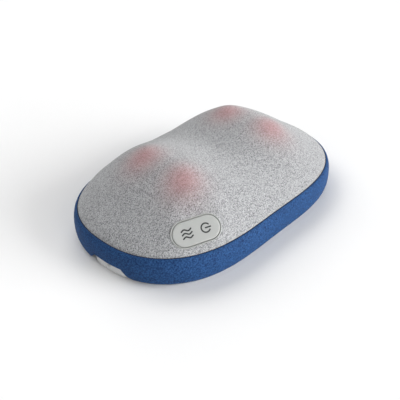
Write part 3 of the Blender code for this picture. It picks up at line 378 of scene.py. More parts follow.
class Look:
    """A Principled material that is built up from procedural textures."""

    def __init__(self, name):
        self.material = bpy.data.materials.new(name)
        self.material.use_nodes = True
        self.tree = self.material.node_tree
        self.shader = self.tree.nodes["Principled BSDF"]
        self.place = self.node("ShaderNodeTexCoord", {}).outputs["Object"]

    def link(self, source, target):
        """Link a socket to an input, or set the input to a plain value."""
        if isinstance(source, bpy.types.NodeSocket):
            self.tree.links.new(source, target)
        else:
            target.default_value = source

    def node(self, kind, inputs, **settings):
        """Add a node, set its fields, and link or set its inputs."""
        node = self.tree.nodes.new(kind)
        for key, value in settings.items():
            setattr(node, key, value)
        for key, value in inputs.items():
            self.link(value, node.inputs[key])
        return node

    def noise(self, scale, detail=2.0, rough=0.5, distortion=0.0, place=None):
        """Noise with features of about 1 / scale metres."""
        inputs = {"Scale": scale, "Detail": detail, "Roughness": rough, "Distortion": distortion,
                  "Vector": place or self.place}
        return self.node("ShaderNodeTexNoise", inputs).outputs["Fac"]

    def math(self, operation, first, second=0.0):
        """One sum on two values."""
        return self.node("ShaderNodeMath", {0: first, 1: second}, operation=operation).outputs[0]

    def times(self, first, second):
        """The product of two values."""
        return self.math("MULTIPLY", first, second)

    def vector(self, operation, first, second=(0, 0, 0)):
        """One sum on two vectors."""
        return self.node("ShaderNodeVectorMath", {0: first, 1: second}, operation=operation)

    def span(self, value, low, high, start=0.0, end=1.0):
        """Map a value from one range to another, clamped."""
        inputs = {"Value": value, "From Min": low, "From Max": high, "To Min": start, "To Max": end}
        return self.node("ShaderNodeMapRange", inputs).outputs["Result"]

    def spread(self, scale, low, high, **settings):
        """Noise with this part of its range spread over 0 to 1."""
        return self.span(self.noise(scale, **settings), low, high)

    def mix(self, share, first, second):
        """Mix two colours."""
        inputs = {"Factor": share, 6: opaque(first), 7: opaque(second)}
        return self.node("ShaderNodeMix", inputs, data_type="RGBA").outputs[2]

    def bump(self, height, distance, strength=1.0, below=None):
        """A bump of that distance, on top of another one."""
        inputs = {"Strength": strength, "Distance": distance, "Height": height}
        if below is not None:
            inputs["Normal"] = below
        return self.node("ShaderNodeBump", inputs).outputs["Normal"]

    def finish(self, colour, rough, normal, **constants):
        """Link what varies and set what doesn't."""
        self.link(opaque(colour), self.shader.inputs["Base Color"])
        self.link(rough, self.shader.inputs["Roughness"])
        self.link(normal, self.shader.inputs["Normal"])
        for key, value in constants.items():
            self.shader.inputs[key.replace("_", " ")].default_value = value
        return self.material


def shade(colour, factor):
    """A lighter or darker colour."""
    return tuple(min(1.0, part * factor) for part in colour)


# painted glow: where the lamps' light would come through the cover, painted into its colour and a faint emission,
# from the nodes' places at rest
GLOW_RADIUS = 19.5 * MM
FRONT_GLOW_SHIFT = Vector((-7 * MM, -6.5 * MM, 0))
BACK_GLOW_SHIFT = Vector((-10.5 * MM, -9.5 * MM, 0))
EULER = 2.718


def glow_share(look):
    """How much painted glow of the lamps a point of the cover gets, from 0 to 1."""
    glow = None
    for place in NODE_PLACES:
        centre = place + (BACK_GLOW_SHIFT if place.y > 0 else FRONT_GLOW_SHIFT)
        away = look.vector("SUBTRACT", look.place, centre)
        flat = look.vector("MULTIPLY", away.outputs[0], (1, 1, 0))
        length = look.vector("LENGTH", flat.outputs[0])
        share = look.math("DIVIDE", length.outputs["Value"], GLOW_RADIUS)
        square = look.times(share, share)
        fade = look.math("POWER", EULER, look.times(square, -1.0))
        glow = fade if glow is None else look.math("MAXIMUM", glow, fade)
    return glow


def cover_fabric():
    """Light grey speckled knit, with the warm red glow of the lamps painted into its colour and a faint emission
    at the four nodes.
    """
    look = Look("cover_fabric")
    yarn = look.noise(640, detail=1.5, rough=0.6, distortion=0.5)
    worm = look.math("ABSOLUTE", look.math("SUBTRACT", yarn, 0.5))
    light = look.span(worm, 0.0, 0.085)
    fibre = look.spread(1500, 0.3, 0.7, detail=2)
    fleck = look.spread(800, 0.62, 0.7, detail=0)
    broad = look.spread(22, 0.3, 0.7, detail=2)
    tone = look.math("ADD", look.times(light, 0.76), look.times(fibre, 0.24))
    colour = look.mix(tone, (0.078, 0.080, 0.085), (0.540, 0.547, 0.560))
    colour = look.mix(look.times(fleck, 0.5), colour, (0.050, 0.052, 0.056))
    colour = look.mix(look.times(broad, 0.10), colour, (0.50, 0.505, 0.515))
    # painted glow: a red tint and a faint emission of the fabric stand for the lamps' light
    glow = look.times(glow_share(look), look.span(light, 0.0, 1.0, 0.65, 1.0))
    colour = look.mix(look.times(glow, 0.60), colour, (0.42, 0.185, 0.190))
    look.link(look.times(glow, 0.055), look.shader.inputs["Emission Strength"])
    normal = look.bump(tone, 0.35 * MM, 0.55)
    normal = look.bump(fibre, 0.12 * MM, 0.5, below=normal)
    return look.finish(colour, look.span(fibre, 0, 1, 0.82, 0.97), normal, Sheen_Weight=0.25,
                       Sheen_Roughness=0.5, Specular_IOR_Level=0.25,
                       Emission_Color=(1.0, 0.13, 0.10, 1.0))


def foam():
    """Open-cell foam, painted darker in its pores as shade inside the cells."""
    look = Look("foam")
    cell = look.node("ShaderNodeTexVoronoi", {"Scale": 900, "Vector": look.place})
    pore_and_shade = look.span(cell.outputs["Distance"], 0.1, 0.6)
    # painted shade: the pores are darker than the struts between them
    colour = look.mix(pore_and_shade, (0.42, 0.38, 0.27), (0.78, 0.74, 0.60))
    yellow = look.spread(30, 0.35, 0.7)
    colour = look.mix(look.times(yellow, 0.3), colour, (0.72, 0.62, 0.40))
    return look.finish(colour, 0.95, look.bump(pore_and_shade, 0.3 * MM, 0.8), Sheen_Weight=0.2)


def band_blue():
    """Blue covering of the side band, with a fine textile-like grain."""
    look = Look("band_blue")
    thread = look.noise(620, detail=2, rough=0.65, distortion=0.4)
    grain = look.span(thread, 0.36, 0.64)
    fine = look.spread(2100, 0.3, 0.7, detail=1)
    broad = look.spread(18, 0.3, 0.7, detail=3)
    colour = look.mix(grain, (0.0053, 0.0198, 0.073), (0.0300, 0.098, 0.260))
    colour = look.mix(look.times(fine, 0.22), colour, (0.030, 0.099, 0.250))
    colour = look.mix(look.times(broad, 0.25), colour, (0.0145, 0.050, 0.145))
    normal = look.bump(grain, 0.16 * MM, 0.5)
    normal = look.bump(fine, 0.05 * MM, 0.5, below=normal)
    return look.finish(colour, look.span(grain, 0, 1, 0.66, 0.84), normal, Sheen_Weight=0.02,
                       Sheen_Roughness=0.4, Specular_IOR_Level=0.12)


def piping_material():
    """Very dark blue cord: painted shade of the gap at the seam."""
    look = Look("piping")
    twist = look.spread(1600, 0.3, 0.7, detail=2)
    colour = look.mix(twist, (0.006, 0.012, 0.030), (0.015, 0.030, 0.070))
    return look.finish(colour, 0.9, look.bump(twist, 0.1 * MM, 0.6))


def icon_material():
    """Dark grey pad print."""
    look = Look("icon_print")
    speck = look.spread(1300, 0.35, 0.7, detail=3)
    colour = look.mix(speck, (0.018, 0.019, 0.020), (0.034, 0.036, 0.036))
    return look.finish(colour, 0.55, look.bump(speck, 0.01 * MM, 0.4))


def plastic(name, colour, rough, grain=0.05 * MM, **constants):
    """Moulded plastic: fine spark-eroded grain, slight streaks and scuffs."""
    look = Look(name)
    fine = look.noise(1400, detail=3)
    streak = look.spread(45, 0.35, 0.75, detail=4, distortion=0.3)
    scuff = look.spread(160, 0.62, 0.78, detail=6, rough=0.7)
    base = look.mix(streak, shade(colour, 0.95), shade(colour, 1.04))
    base = look.mix(look.times(scuff, 0.10), base, shade(colour, 0.72))
    roughness = look.math("ADD", look.span(streak, 0, 1, rough - 0.04, rough + 0.05),
                          look.times(scuff, 0.12))
    return look.finish(base, roughness, look.bump(fine, grain, 0.6), **constants)


def metal(name, colour, rough, stretch=(1, 1, 18)):
    """Drawn or machined metal, with fine lines and duller patches."""
    look = Look(name)
    mapping = look.node("ShaderNodeMapping", {"Vector": look.place, "Scale": stretch})
    line = look.noise(900, detail=2, place=mapping.outputs["Vector"])
    patch = look.spread(110, 0.4, 0.75, detail=5, rough=0.6)
    base = look.mix(patch, shade(colour, 1.05), shade(colour, 0.72))
    roughness = look.math("ADD", look.span(line, 0.3, 0.7, rough - 0.06, rough + 0.08),
                          look.times(patch, 0.14))
    return look.finish(base, roughness, look.bump(line, 0.02 * MM, 0.4), Metallic=1.0)


def copper():
    """Enamelled copper wire, wound round the rotor, painted darker in the grooves between its turns as shade."""
    look = Look("copper")
    inputs = {"Scale": 420, "Distortion": 0.6, "Vector": look.place}
    turn = look.node("ShaderNodeTexWave", inputs, bands_direction="X").outputs["Fac"]
    # painted shade: darker in the grooves between the turns
    colour = look.mix(turn, (0.22, 0.07, 0.03), (0.80, 0.36, 0.18))
    return look.finish(colour, 0.35, look.bump(turn, 0.15 * MM, 0.8), Metallic=0.9)


def circuit_board():
    """Green solder mask over copper tracks."""
    look = Look("circuit_board")
    inputs = {"Scale": 210, "Mortar Size": 0.03, "Vector": look.place}
    lines = look.node("ShaderNodeTexBrick", inputs).outputs["Fac"]
    grain = look.spread(60, 0.3, 0.7, detail=3)
    mask = look.mix(grain, (0.010, 0.105, 0.040), (0.020, 0.165, 0.065))
    colour = look.mix(lines, mask, (0.050, 0.26, 0.09))
    return look.finish(colour, look.span(grain, 0, 1, 0.28, 0.42), look.bump(lines, 0.06 * MM, 0.6),
                       Coat_Weight=0.3)


def lamp():
    """Clear red lens of a heat lamp, lit from inside."""
    look = Look("lamp")
    swirl = look.spread(400, 0.3, 0.7, detail=2)
    colour = look.mix(swirl, (0.80, 0.05, 0.03), (0.95, 0.12, 0.06))
    look.link(look.span(swirl, 0, 1, 2.2, 3.4), look.shader.inputs["Emission Strength"])
    return look.finish(colour, 0.12, look.bump(swirl, 0.02 * MM, 0.3), Coat_Weight=0.5,
                       Emission_Color=(1.0, 0.10, 0.05, 1.0))


def node_red():
    """Glossy translucent red plastic of the massage nodes."""
    look = Look("node_red")
    flow = look.spread(90, 0.3, 0.7, detail=3, distortion=0.8)
    rub = look.spread(420, 0.55, 0.75, detail=4)
    colour = look.mix(flow, (0.46, 0.020, 0.018), (0.66, 0.045, 0.035))
    roughness = look.math("ADD", look.span(flow, 0, 1, 0.16, 0.26), look.times(rub, 0.18))
    return look.finish(colour, roughness, look.bump(rub, 0.01 * MM, 0.3), Subsurface_Weight=0.25,
                       Subsurface_Scale=4 * MM, Coat_Weight=0.3)


def rubber():
    """Moulded black rubber."""
    look = Look("rubber")
    fine = look.noise(1100, detail=3)
    dust = look.spread(140, 0.5, 0.8, detail=5)
    colour = look.mix(look.times(dust, 0.5), (0.022, 0.022, 0.023), (0.085, 0.083, 0.08))
    return look.finish(colour, look.span(dust, 0, 1, 0.72, 0.92), look.bump(fine, 0.08 * MM, 0.6))


# colour, roughness and other settings
PLASTICS = {
    "white_plastic": ((0.70, 0.705, 0.70), 0.42, {}),
    "key_plastic": ((0.415, 0.425, 0.413), 0.42, {"grain": 0.02 * MM}),
    "natural_plastic": ((0.62, 0.59, 0.52), 0.38,
                        {"Subsurface_Weight": 0.15, "Subsurface_Scale": 3 * MM}),
    "grey_plastic": ((0.17, 0.175, 0.185), 0.5, {}),
    "black_plastic": ((0.022, 0.022, 0.024), 0.4, {}),
    "cell_wrap": ((0.035, 0.17, 0.30), 0.26, {"grain": 0.01 * MM, "Coat_Weight": 0.4}),
    "lead_insulation": ((0.42, 0.03, 0.025), 0.45, {}),
}
METALS = {
    "steel": ((0.58, 0.585, 0.60), 0.28, {}),
    "brass": ((0.78, 0.57, 0.26), 0.30, {"stretch": (18, 1, 1)}),
    "bronze": ((0.60, 0.40, 0.22), 0.42, {"stretch": (4, 4, 4)}),
}
OTHERS = {recipe.__name__: recipe for recipe in
          (cover_fabric, foam, band_blue, node_red, lamp, circuit_board, rubber, copper)}


@cache
def material_of(slot):
    """The material of one of the record's slots, made once."""
    if slot in OTHERS:
        return OTHERS[slot]()
    recipe, table = (plastic, PLASTICS) if slot in PLASTICS else (metal, METALS)
    colour, rough, settings = table[slot]
    return recipe(slot, colour, rough, **settings)


# ---------------- soft pieces

COVER_RINGS = 46
COVER_SHARES = [t * (1.35 - 0.35 * t) for t in np.arange(1, COVER_RINGS) / COVER_RINGS]
FABRIC_THICKNESS = 1.6 * MM
SKIRT_Z = 29.2 * MM
SKIRT_STEP = 0.2 * MM
OPENING_FIT = 0.15 * MM
OPENING_SPAN = (-24 * MM, 12 * MM)
EDGE_HELD = (0.9, 0.98)       # where the fabric starts to be held, and is, on its way to the seam
KEY_HELD = 3 * MM             # the fabric is held this far around the key, and looser over
KEY_LOOSE = 8 * MM            # this much more
CLOTH_FRAMES = 14
CLOTH_CAP = 1.2 * MM
CLOTH = {"quality": 6, "mass": 0.25, "tension_stiffness": 18, "compression_stiffness": 14,
         "shear_stiffness": 6, "bending_stiffness": 0.8, "shrink_min": 0.006, "pin_stiffness": 6,
         "use_pressure": True, "uniform_pressure_force": 1.6}


def relax(obj, held):
    """Let the fabric pull taut under a light push from the foam, with a capped movement. held is
    how firmly each point is fixed, from 0 to 1."""
    rest = np.array([vert.co for vert in obj.data.vertices])
    group = obj.vertex_groups.new(name="held")
    for index, weight in enumerate(held):
        group.add([index], float(weight), "REPLACE")
    cloth = obj.modifiers.new("cloth", "CLOTH")
    for key, value in CLOTH.items():
        setattr(cloth.settings, key, value)
    cloth.settings.vertex_group_mass = "held"
    cloth.settings.effector_weights.gravity = 0
    cloth.collision_settings.use_collision = False
    cloth.point_cache.frame_end = CLOTH_FRAMES
    for number in range(1, CLOTH_FRAMES + 1):
        bpy.context.scene.frame_set(number)
    graph = bpy.context.evaluated_depsgraph_get()
    moved = np.array([vert.co for vert in obj.evaluated_get(graph).data.vertices])
    obj.modifiers.remove(cloth)
    bpy.context.scene.frame_set(1)
    shift = moved - rest
    length = np.linalg.norm(shift, axis=1)
    capped = CLOTH_CAP * np.tanh(length / CLOTH_CAP)
    shift *= (capped / np.maximum(length, 1e-9) * (1 - held))[:, None]
    for vert, place in zip(obj.data.vertices, rest + shift):
        vert.co = place
    obj.vertex_groups.clear()


def pill_ring(inset, z):
    """A ring of the key's pill in the key's own frame, moved inwards by inset."""
    radius = KEY_WIDTH / 2 - inset
    points = arc((KEY_STRAIGHT, 0), radius, -90, 90, PILL_ARC)
    points += [(x, radius) for x in np.linspace(KEY_STRAIGHT, -KEY_STRAIGHT, PILL_SIDE)[1:-1]]
    points += arc((-KEY_STRAIGHT, 0), radius, 90, 270, PILL_ARC)
    points += [(x, -radius) for x in np.linspace(-KEY_STRAIGHT, KEY_STRAIGHT, PILL_SIDE)[1:-1]]
    return np.array([(x, y, z) for x, y in points])


def key_opening_tool():
    """Cutter for the opening that the key housing stands in."""
    outset = KEY_GAP + BEZEL_WALL + OPENING_FIT
    tool = loft("tool", [pill_ring(-outset, z) for z in OPENING_SPAN])
    place_at_key(tool)
    return tool


def make_cover():
    """The fabric cover: one taut sheet over the dome, tucked into the band at its edge."""
    angle = turn_angles(AROUND)
    rings = [skin_ring(angle, share, 0) for share in COVER_SHARES]
    rings.append(level_ring(angle, SEAM_INSET, SEAM_Z))
    for step in (0.25, 0.5, 0.75, 1.0):
        z = SEAM_Z + (SKIRT_Z - SEAM_Z) * step
        rings.append(level_ring(angle, SEAM_INSET + SKIRT_STEP * step, z))
    middle = np.array([[0, 0, float(cover_height(0.0, 0.0))]])
    points = np.concatenate([middle] + rings)
    faces = [(0, 1 + index, 1 + (index + 1) % AROUND) for index in range(AROUND)]
    for row in range(len(rings) - 1):
        near = 1 + row * AROUND
        far = near + AROUND
        faces += [(near + i, far + i, far + (i + 1) % AROUND, near + (i + 1) % AROUND)
                  for i in range(AROUND)]
    cover = add_object("cover", points, faces)
    place = np.array([vert.co for vert in cover.data.vertices])
    edge = np.interp(reach(place[:, 0], place[:, 1]), EDGE_HELD, (0, 1))
    edge[place[:, 2] < SEAM_Z + 0.2 * MM] = 1
    key = 1 - np.clip((beside_key(place[:, 0], place[:, 1]) - KEY_HELD) / KEY_LOOSE, 0, 1)
    relax(cover, np.maximum(edge, key))
    wall = cover.modifiers.new("thickness", "SOLIDIFY")
    wall.thickness = FABRIC_THICKNESS
    wall.offset = -1
    apply_modifiers(cover)
    combine(cover, [key_opening_tool()], "DIFFERENCE")
    settle(cover, "housing", "cover_fabric", ["fabric_cover"], sharp=60)


FOAM_OUTER = 2.8 * MM
FOAM_INNER = 8.8 * MM
FOAM_LOW = 28.7 * MM
FOAM_DROP = 0.34              # how far the pad's edge drops for each millimetre inwards
NODE_ORBIT = 30 * MM
SWEEP_RADIUS = 15.5 * MM
SWEEP_Z = 54 * MM
SWEEP_LOW = 37 * MM


def make_foam():
    """The foam pad under the cover, cut out where the nodes turn."""
    angle = turn_angles(96)
    shares = COVER_SHARES[::2]
    rings = [skin_ring(angle, share, FOAM_OUTER) for share in shares]
    rings.append(level_ring(angle, SEAM_INSET + FOAM_OUTER, SEAM_Z - FOAM_DROP * FOAM_OUTER))
    rings.append(level_ring(angle, SEAM_INSET + FOAM_OUTER + SKIRT_STEP, FOAM_LOW))
    rings.append(level_ring(angle, SEAM_INSET + FOAM_INNER, FOAM_LOW))
    rings.append(level_ring(angle, SEAM_INSET + FOAM_INNER, SEAM_Z - FOAM_DROP * FOAM_INNER))
    rings += [skin_ring(angle, share, FOAM_INNER) for share in reversed(shares)]
    pad = loft("foam_layer", rings)
    profile = [(NODE_ORBIT - SWEEP_RADIUS, SWEEP_LOW)]
    profile += [(NODE_ORBIT - SWEEP_RADIUS * cos(a), SWEEP_Z + SWEEP_RADIUS * sin(a))
                for a in np.linspace(0, pi, 13)]
    profile.append((NODE_ORBIT + SWEEP_RADIUS, SWEEP_LOW))
    tools = [revolve("tool", profile, (head.x, head.y, 0), 64) for head in HEAD_PLACES]
    combine(pad, tools + [key_opening_tool()], "DIFFERENCE")
    settle(pad, "housing", "foam", ["foam_pad"], sharp=50)


# ---------------- band, and the dark cord of painted shade at the seam

BAND_OUTER = [(3.6, 33.8), (2.2, 32.2), (0.7, 27.5), (0.0, 20.0), (0.3, 12.0), (1.7, 6.0),
              (4.4, 2.3), (8.2, 1.0)]
BAND_INNER = [(9.6, 2.0), (5.9, 4.6), (3.8, 8.0), (2.5, 14.0), (2.3, 21.0), (3.2, 28.0),
              (4.6, 32.8)]
BAND_LIP = [(3.9, 34.05), (4.2, 34.1), (4.5, 33.9), (4.65, 33.4)]
FINE_REACH = 26 * MM          # the band's points are closer together this far past the notch
OUTER_STOP = 0.4 * MM         # the outer curve ends this far above the lower edge
INNER_START = 0.9 * MM        # the inner curve starts this far above it
EDGE_DROP = 0.5 * MM          # and the rounding between them is drawn down this far below it
# the dark cord at the seam is painted shade: it stands for the shadow in the gap
SHADE_CORD_INSET = 4.95 * MM
SHADE_CORD_Z = 33.85 * MM
SHADE_CORD_RADIUS = 0.5 * MM


def band_angles():
    """Angles around the outline, closer together at the notch."""
    even = turn_angles(AROUND)
    side = np.abs(NOTCH_Y) + NOTCH_HALF_WIDTH + FINE_REACH
    y = np.linspace(-side, side, 150)
    share = (np.abs(y) / HALF_SHOULDER) ** (SQUARENESS / 2)
    near = pi + np.sign(-y) * np.arcsin(share)
    even = even[(even < near.min() - 0.01) | (even > near.max() + 0.01)]
    return np.sort(np.concatenate([even, near]))


def edge_height(angle):
    """Height of the band's lower edge: level, apart from the notch at the left end."""
    x, y = outline(angle, 1 * MM)
    away = np.maximum(0, np.abs(y - NOTCH_Y) - NOTCH_HALF_WIDTH)
    raised = (NOTCH_TOP - BAND_LOW) * np.exp(-(away / NOTCH_FLARE) ** NOTCH_FLARE_POWER)
    return BAND_LOW + np.where(x < 0, raised, 0)


def section_curve(corners):
    """A smooth section curve, as its length so far, its insets and its heights."""
    path = smooth_path(corners, 10) * MM
    length = np.concatenate([[0], np.cumsum(np.hypot(*np.diff(path, axis=0).T))])
    return length, path[:, 0], path[:, 1]


def curve_point(curve, along):
    """Inset and height at a length along a section curve, which may vary around the outline."""
    return [np.interp(along, curve[0], values) for values in curve[1:]]


def make_band():
    """The blue band: a rolled upper lip, a full side and a rounded lower edge with its notch."""
    angle = band_angles()
    low = edge_height(angle)
    outer = section_curve(BAND_OUTER)
    inner = section_curve(BAND_INNER)
    end = np.interp(-(low + OUTER_STOP), -outer[2], outer[0])
    start = np.interp(low + INNER_START, inner[2], inner[0])
    rings = [level_ring(angle, *curve_point(outer, share * end)) for share in np.linspace(0, 1, 26)]
    outer_inset, outer_height = curve_point(outer, end)
    inner_inset, inner_height = curve_point(inner, start)
    middle = 0.45 * outer_inset + 0.55 * inner_inset
    under = low - EDGE_DROP
    for t in (0.2, 0.4, 0.6, 0.8):
        shares = ((1 - t) ** 2, 2 * t * (1 - t), t ** 2)
        ring_inset = shares[0] * outer_inset + shares[1] * middle + shares[2] * inner_inset
        ring_z = shares[0] * outer_height + shares[1] * under + shares[2] * inner_height
        rings.append(level_ring(angle, ring_inset, np.maximum(ring_z, BAND_LOW)))
    for share in np.linspace(0, 1, 14):
        along = start + share * (inner[0][-1] - start)
        rings.append(level_ring(angle, *curve_point(inner, along)))
    for lip_inset, lip_z in reversed(BAND_LIP):
        rings.append(level_ring(angle, lip_inset * MM, lip_z * MM))
    band = loft("band", rings, joined=True)
    settle(band, "housing", "band_blue", ["side_band"], sharp=70)


def make_piping():
    """Dark cord in the gap between the cover and the band: painted shade, a dark piece that stands for the gap's
    shadow.
    """
    centre = level_ring(turn_angles(AROUND * 2), SHADE_CORD_INSET, SHADE_CORD_Z)
    ahead = unit(np.roll(centre, -1, 0) - np.roll(centre, 1, 0))
    up = np.array([0.0, 0.0, 1.0])
    side = unit(np.cross(ahead, up))
    rings = [centre + SHADE_CORD_RADIUS * (side * cos(a) + up * sin(a)) for a in turn_angles(10)]
    cord = loft("seam_piping", rings, joined=True)
    settle(cord, "housing", "band_blue", material=piping_material())


# ---------------- bottom shell

SHELL_SECTION = [(24.0, 2.6), (18.5, 2.6), (15.0, 2.8), (11.8, 3.9), (8.9, 6.6), (7.1, 10.2),
                 (6.3, 14.0), (5.9, 19.0), (5.6, 25.9)]
NOTCH_SECTION = [(20.0, 2.6), (14.0, 2.6), (10.0, 2.0), (7.0, 1.4), (5.0, 1.6), (4.3, 2.8),
                 (4.0, 6.5), (4.1, 14.0), (5.6, 25.9)]
SHELL_FILL = 17.5 * MM        # half the width of the upright wall in the notch
SHELL_FADE = 10 * MM          # how soon it turns into the common section
FLOOR_INSETS = (85 * MM, 60 * MM, 40 * MM)
SHELL_BEVEL = 0.25 * MM
SCREW_X = 128 * MM
SCREW_Y = 42 * MM
BOSS_RADIUS = 6 * MM
BOSS_TOP = 16 * MM
SCREW_RECESS = [(0, -1.0), (4.9, -1.0), (4.9, 2.6), (4.3, 2.75), (3.8, 3.4), (3.8, 12.0), (1.8, 12.0),
                (1.8, 20.0), (0, 20.0)]
PILLARS = [(90, -34, 9.3, 4), (90, 22, 9.3, 4), (40, -70, 8, 3)]    # x, y, top and radius in mm
VENT_COUNT = 4
VENT_SPACING = 9 * MM
VENT_RADIUS = 1.5 * MM
VENT_START = -46.5 * MM
VENT_END = -21.5 * MM
VENT_TOP = 9 * MM
JACK_Z = 9.6 * MM
JACK_RADIUS = 3.2 * MM
JACK_HOLE = (-165 * MM, -140 * MM)
JACK_FACE = [(3.2, 0.3), (2.9, 0), (2.2, 0), (1.9, 0.3), (1.9, 9.5), (0.65, 9.5), (0.65, 1.9),
             (0.45, 1.4), (0, 1.2)]


def slot_tool(x, start, end, radius, low, high):
    """A cutter for a slot along Y with round ends."""
    points = arc((x, end), radius, 0, 180, 13) + arc((x, start), radius, 180, 360, 13)
    return loft("tool", [np.array([(px, py, z) for px, py in points]) for z in (low, high)])


def shell_angles():
    """Angles around the shell, closer together at the notch."""
    fine = np.linspace(pi - 0.32, pi + 0.32, 61)
    even = turn_angles(AROUND)
    return np.sort(np.concatenate([even[np.abs(even - pi) > 0.33], fine]))


def shell_ring(angle, common, upright):
    """A ring of the shell: common is its (inset, height), and upright the one in the notch."""
    x, y = outline(angle, common[0])
    share = np.where(x < 0, blend_out(np.abs(y - NOTCH_Y) - SHELL_FILL, SHELL_FADE), 0)
    x, y = outline(angle, common[0] + (upright[0] - common[0]) * share)
    return np.stack([x, y, common[1] + (upright[1] - common[1]) * share], 1)


def inner_face(section):
    """The inner face of a wall from the (inset, height) points of its outer face."""
    ahead = unit(np.gradient(section, axis=0))
    inner = section + WALL * np.stack([ahead[:, 1], -ahead[:, 0]], 1)
    inner[:, 1] = np.minimum(inner[:, 1], section[-1, 1])
    return inner


def make_bottom_shell():
    """White tray: dished rim, flat floor with vents and screw recesses, bosses and pillars."""
    angle = shell_angles()
    common = smooth_path(SHELL_SECTION, 4) * MM
    upright = smooth_path(NOTCH_SECTION, 4) * MM
    rings = [level_ring(angle, inset, FLOOR_Z) for inset in FLOOR_INSETS]
    rings += [shell_ring(angle, first, second) for first, second in zip(common, upright)]
    inner = list(zip(inner_face(common), inner_face(upright)))
    rings += [shell_ring(angle, first, second) for first, second in reversed(inner)]
    rings += [level_ring(angle, inset, FLOOR_Z + WALL) for inset in reversed(FLOOR_INSETS)]
    shell = loft("bottom_tray", rings)
    inside = FLOOR_Z + WALL / 2
    screws = [(side * SCREW_X, end * SCREW_Y) for side, end in CORNERS.values()]
    joins = []
    for side in (-1, 1):
        posts = [(x, y, BOSS_TOP, BOSS_RADIUS) for x, y in screws if x * side > 0]
        posts += [(side * x * MM, y * MM, top * MM, radius * MM) for x, y, top, radius in PILLARS]
        joins += [rod_tool((x, y, inside), (x, y, top), radius) for x, y, top, radius in posts]
    combine(shell, joins, "UNION")
    recess = [(radius * MM, z * MM) for radius, z in SCREW_RECESS]
    cuts = [revolve("tool", recess, (x, y, 0)) for x, y in screws]
    for index in range(VENT_COUNT):
        x = (index - (VENT_COUNT - 1) / 2) * VENT_SPACING
        cuts.append(slot_tool(x, VENT_START, VENT_END, VENT_RADIUS, 0, VENT_TOP))
    cuts.append(rod_tool(*[(x, NOTCH_Y, JACK_Z) for x in JACK_HOLE], JACK_RADIUS + RUNNING_FIT))
    combine(shell, cuts, "DIFFERENCE")
    edges = shell.modifiers.new("edges", "BEVEL")
    edges.width = SHELL_BEVEL
    edges.segments = 2
    edges.limit_method = "ANGLE"
    edges.angle_limit = radians(50)
    apply_modifiers(shell)
    settle(shell, "housing", "white_plastic", ["bottom_shell"], sharp=40)


FOOT_EDGE = 0.9 * MM
FOOT_RIM = 2.0 * MM
FOOT_SLOPE = 0.6 * MM
FOOT_DISH = 0.35 * MM


def make_feet():
    """Rubber feet with a rounded edge and a shallow dish in their face."""
    for corner in CORNERS:
        node = corner + "_foot"
        low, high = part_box(node)
        middle = (low + high) / 2
        radius = (high.x - low.x) / 2
        profile = [(0, FLOOR_Z), (radius, FLOOR_Z)]
        profile += arc((radius - FOOT_EDGE, FOOT_EDGE), FOOT_EDGE, 0, -90, 7)
        profile += [(radius - FOOT_RIM, 0), (radius - FOOT_RIM - FOOT_SLOPE, FOOT_DISH), (0, FOOT_DISH)]
        foot = revolve(node + "_pad", profile, (middle.x, middle.y, 0), 64)
        settle(foot, "housing", "rubber", [node])


THREAD_RADIUS = 1.5 * MM
THREAD_ROOT = 1.15 * MM
THREAD_STEP = 0.5 * MM
TIP_RADIUS = 0.5 * MM
TIP_TAPER = 1.5 * MM
TIP_LENGTH = 2 * MM
HEAD_RADIUS = 3 * MM
HEAD_HEIGHT = 2.4 * MM
HEAD_EDGE = 0.15 * MM
HEAD_ROUNDING = 1.1 * MM
CROSS_LENGTH = 1.7 * MM
CROSS_WIDTH = 0.35 * MM
CROSS_DEPTH = 1.5 * MM


def make_screws():
    """Pan-head screws with a cross recess, seen up the recesses in the floor."""
    for corner in CORNERS:
        node = corner + "_screw"
        low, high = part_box(node)
        x = (low.x + high.x) / 2
        y = (low.y + high.y) / 2
        head = low.z + HEAD_HEIGHT
        top = high.z - TIP_LENGTH
        profile = [(0, high.z), (TIP_RADIUS, high.z), (THREAD_RADIUS, high.z - TIP_TAPER)]
        for index in range(int((top - head) / THREAD_STEP)):
            radius = THREAD_RADIUS if index % 2 == 0 else THREAD_ROOT
            profile.append((radius, top - index * THREAD_STEP))
        profile += [(THREAD_RADIUS, head), (HEAD_RADIUS - 0.1 * MM, head),
                    (HEAD_RADIUS, head - HEAD_EDGE), (HEAD_RADIUS, head - 1.4 * MM)]
        profile += arc((HEAD_RADIUS - HEAD_ROUNDING, head - 1.3 * MM), HEAD_ROUNDING, 0, -90, 7)
        profile.append((0, low.z))
        screw = revolve(node + "_thread", profile, (x, y, 0), 32)
        arms = []
        for reach_x, reach_y in ((CROSS_LENGTH, CROSS_WIDTH), (CROSS_WIDTH, CROSS_LENGTH)):
            arms.append(box_tool((x - reach_x, y - reach_y, low.z - 1 * MM),
                                 (x + reach_x, y + reach_y, low.z + CROSS_DEPTH)))
        combine(screw, arms, "DIFFERENCE")
        settle(screw, "housing", "steel", [node], sharp=35)


def make_jack():
    """Round power inlet with a collar, a bore and its centre pin."""
    low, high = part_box("dc_jack")
    length = high.x - low.x
    profile = [(0, length), (JACK_RADIUS, length)]
    profile += [(radius * MM, depth * MM) for radius, depth in JACK_FACE]
    jack = revolve("power_inlet", profile, (low.x, NOTCH_Y, JACK_Z), 64, axis="X")
    settle(jack, "housing", "white_plastic", ["dc_jack"])


# ---------------- key and its symbols

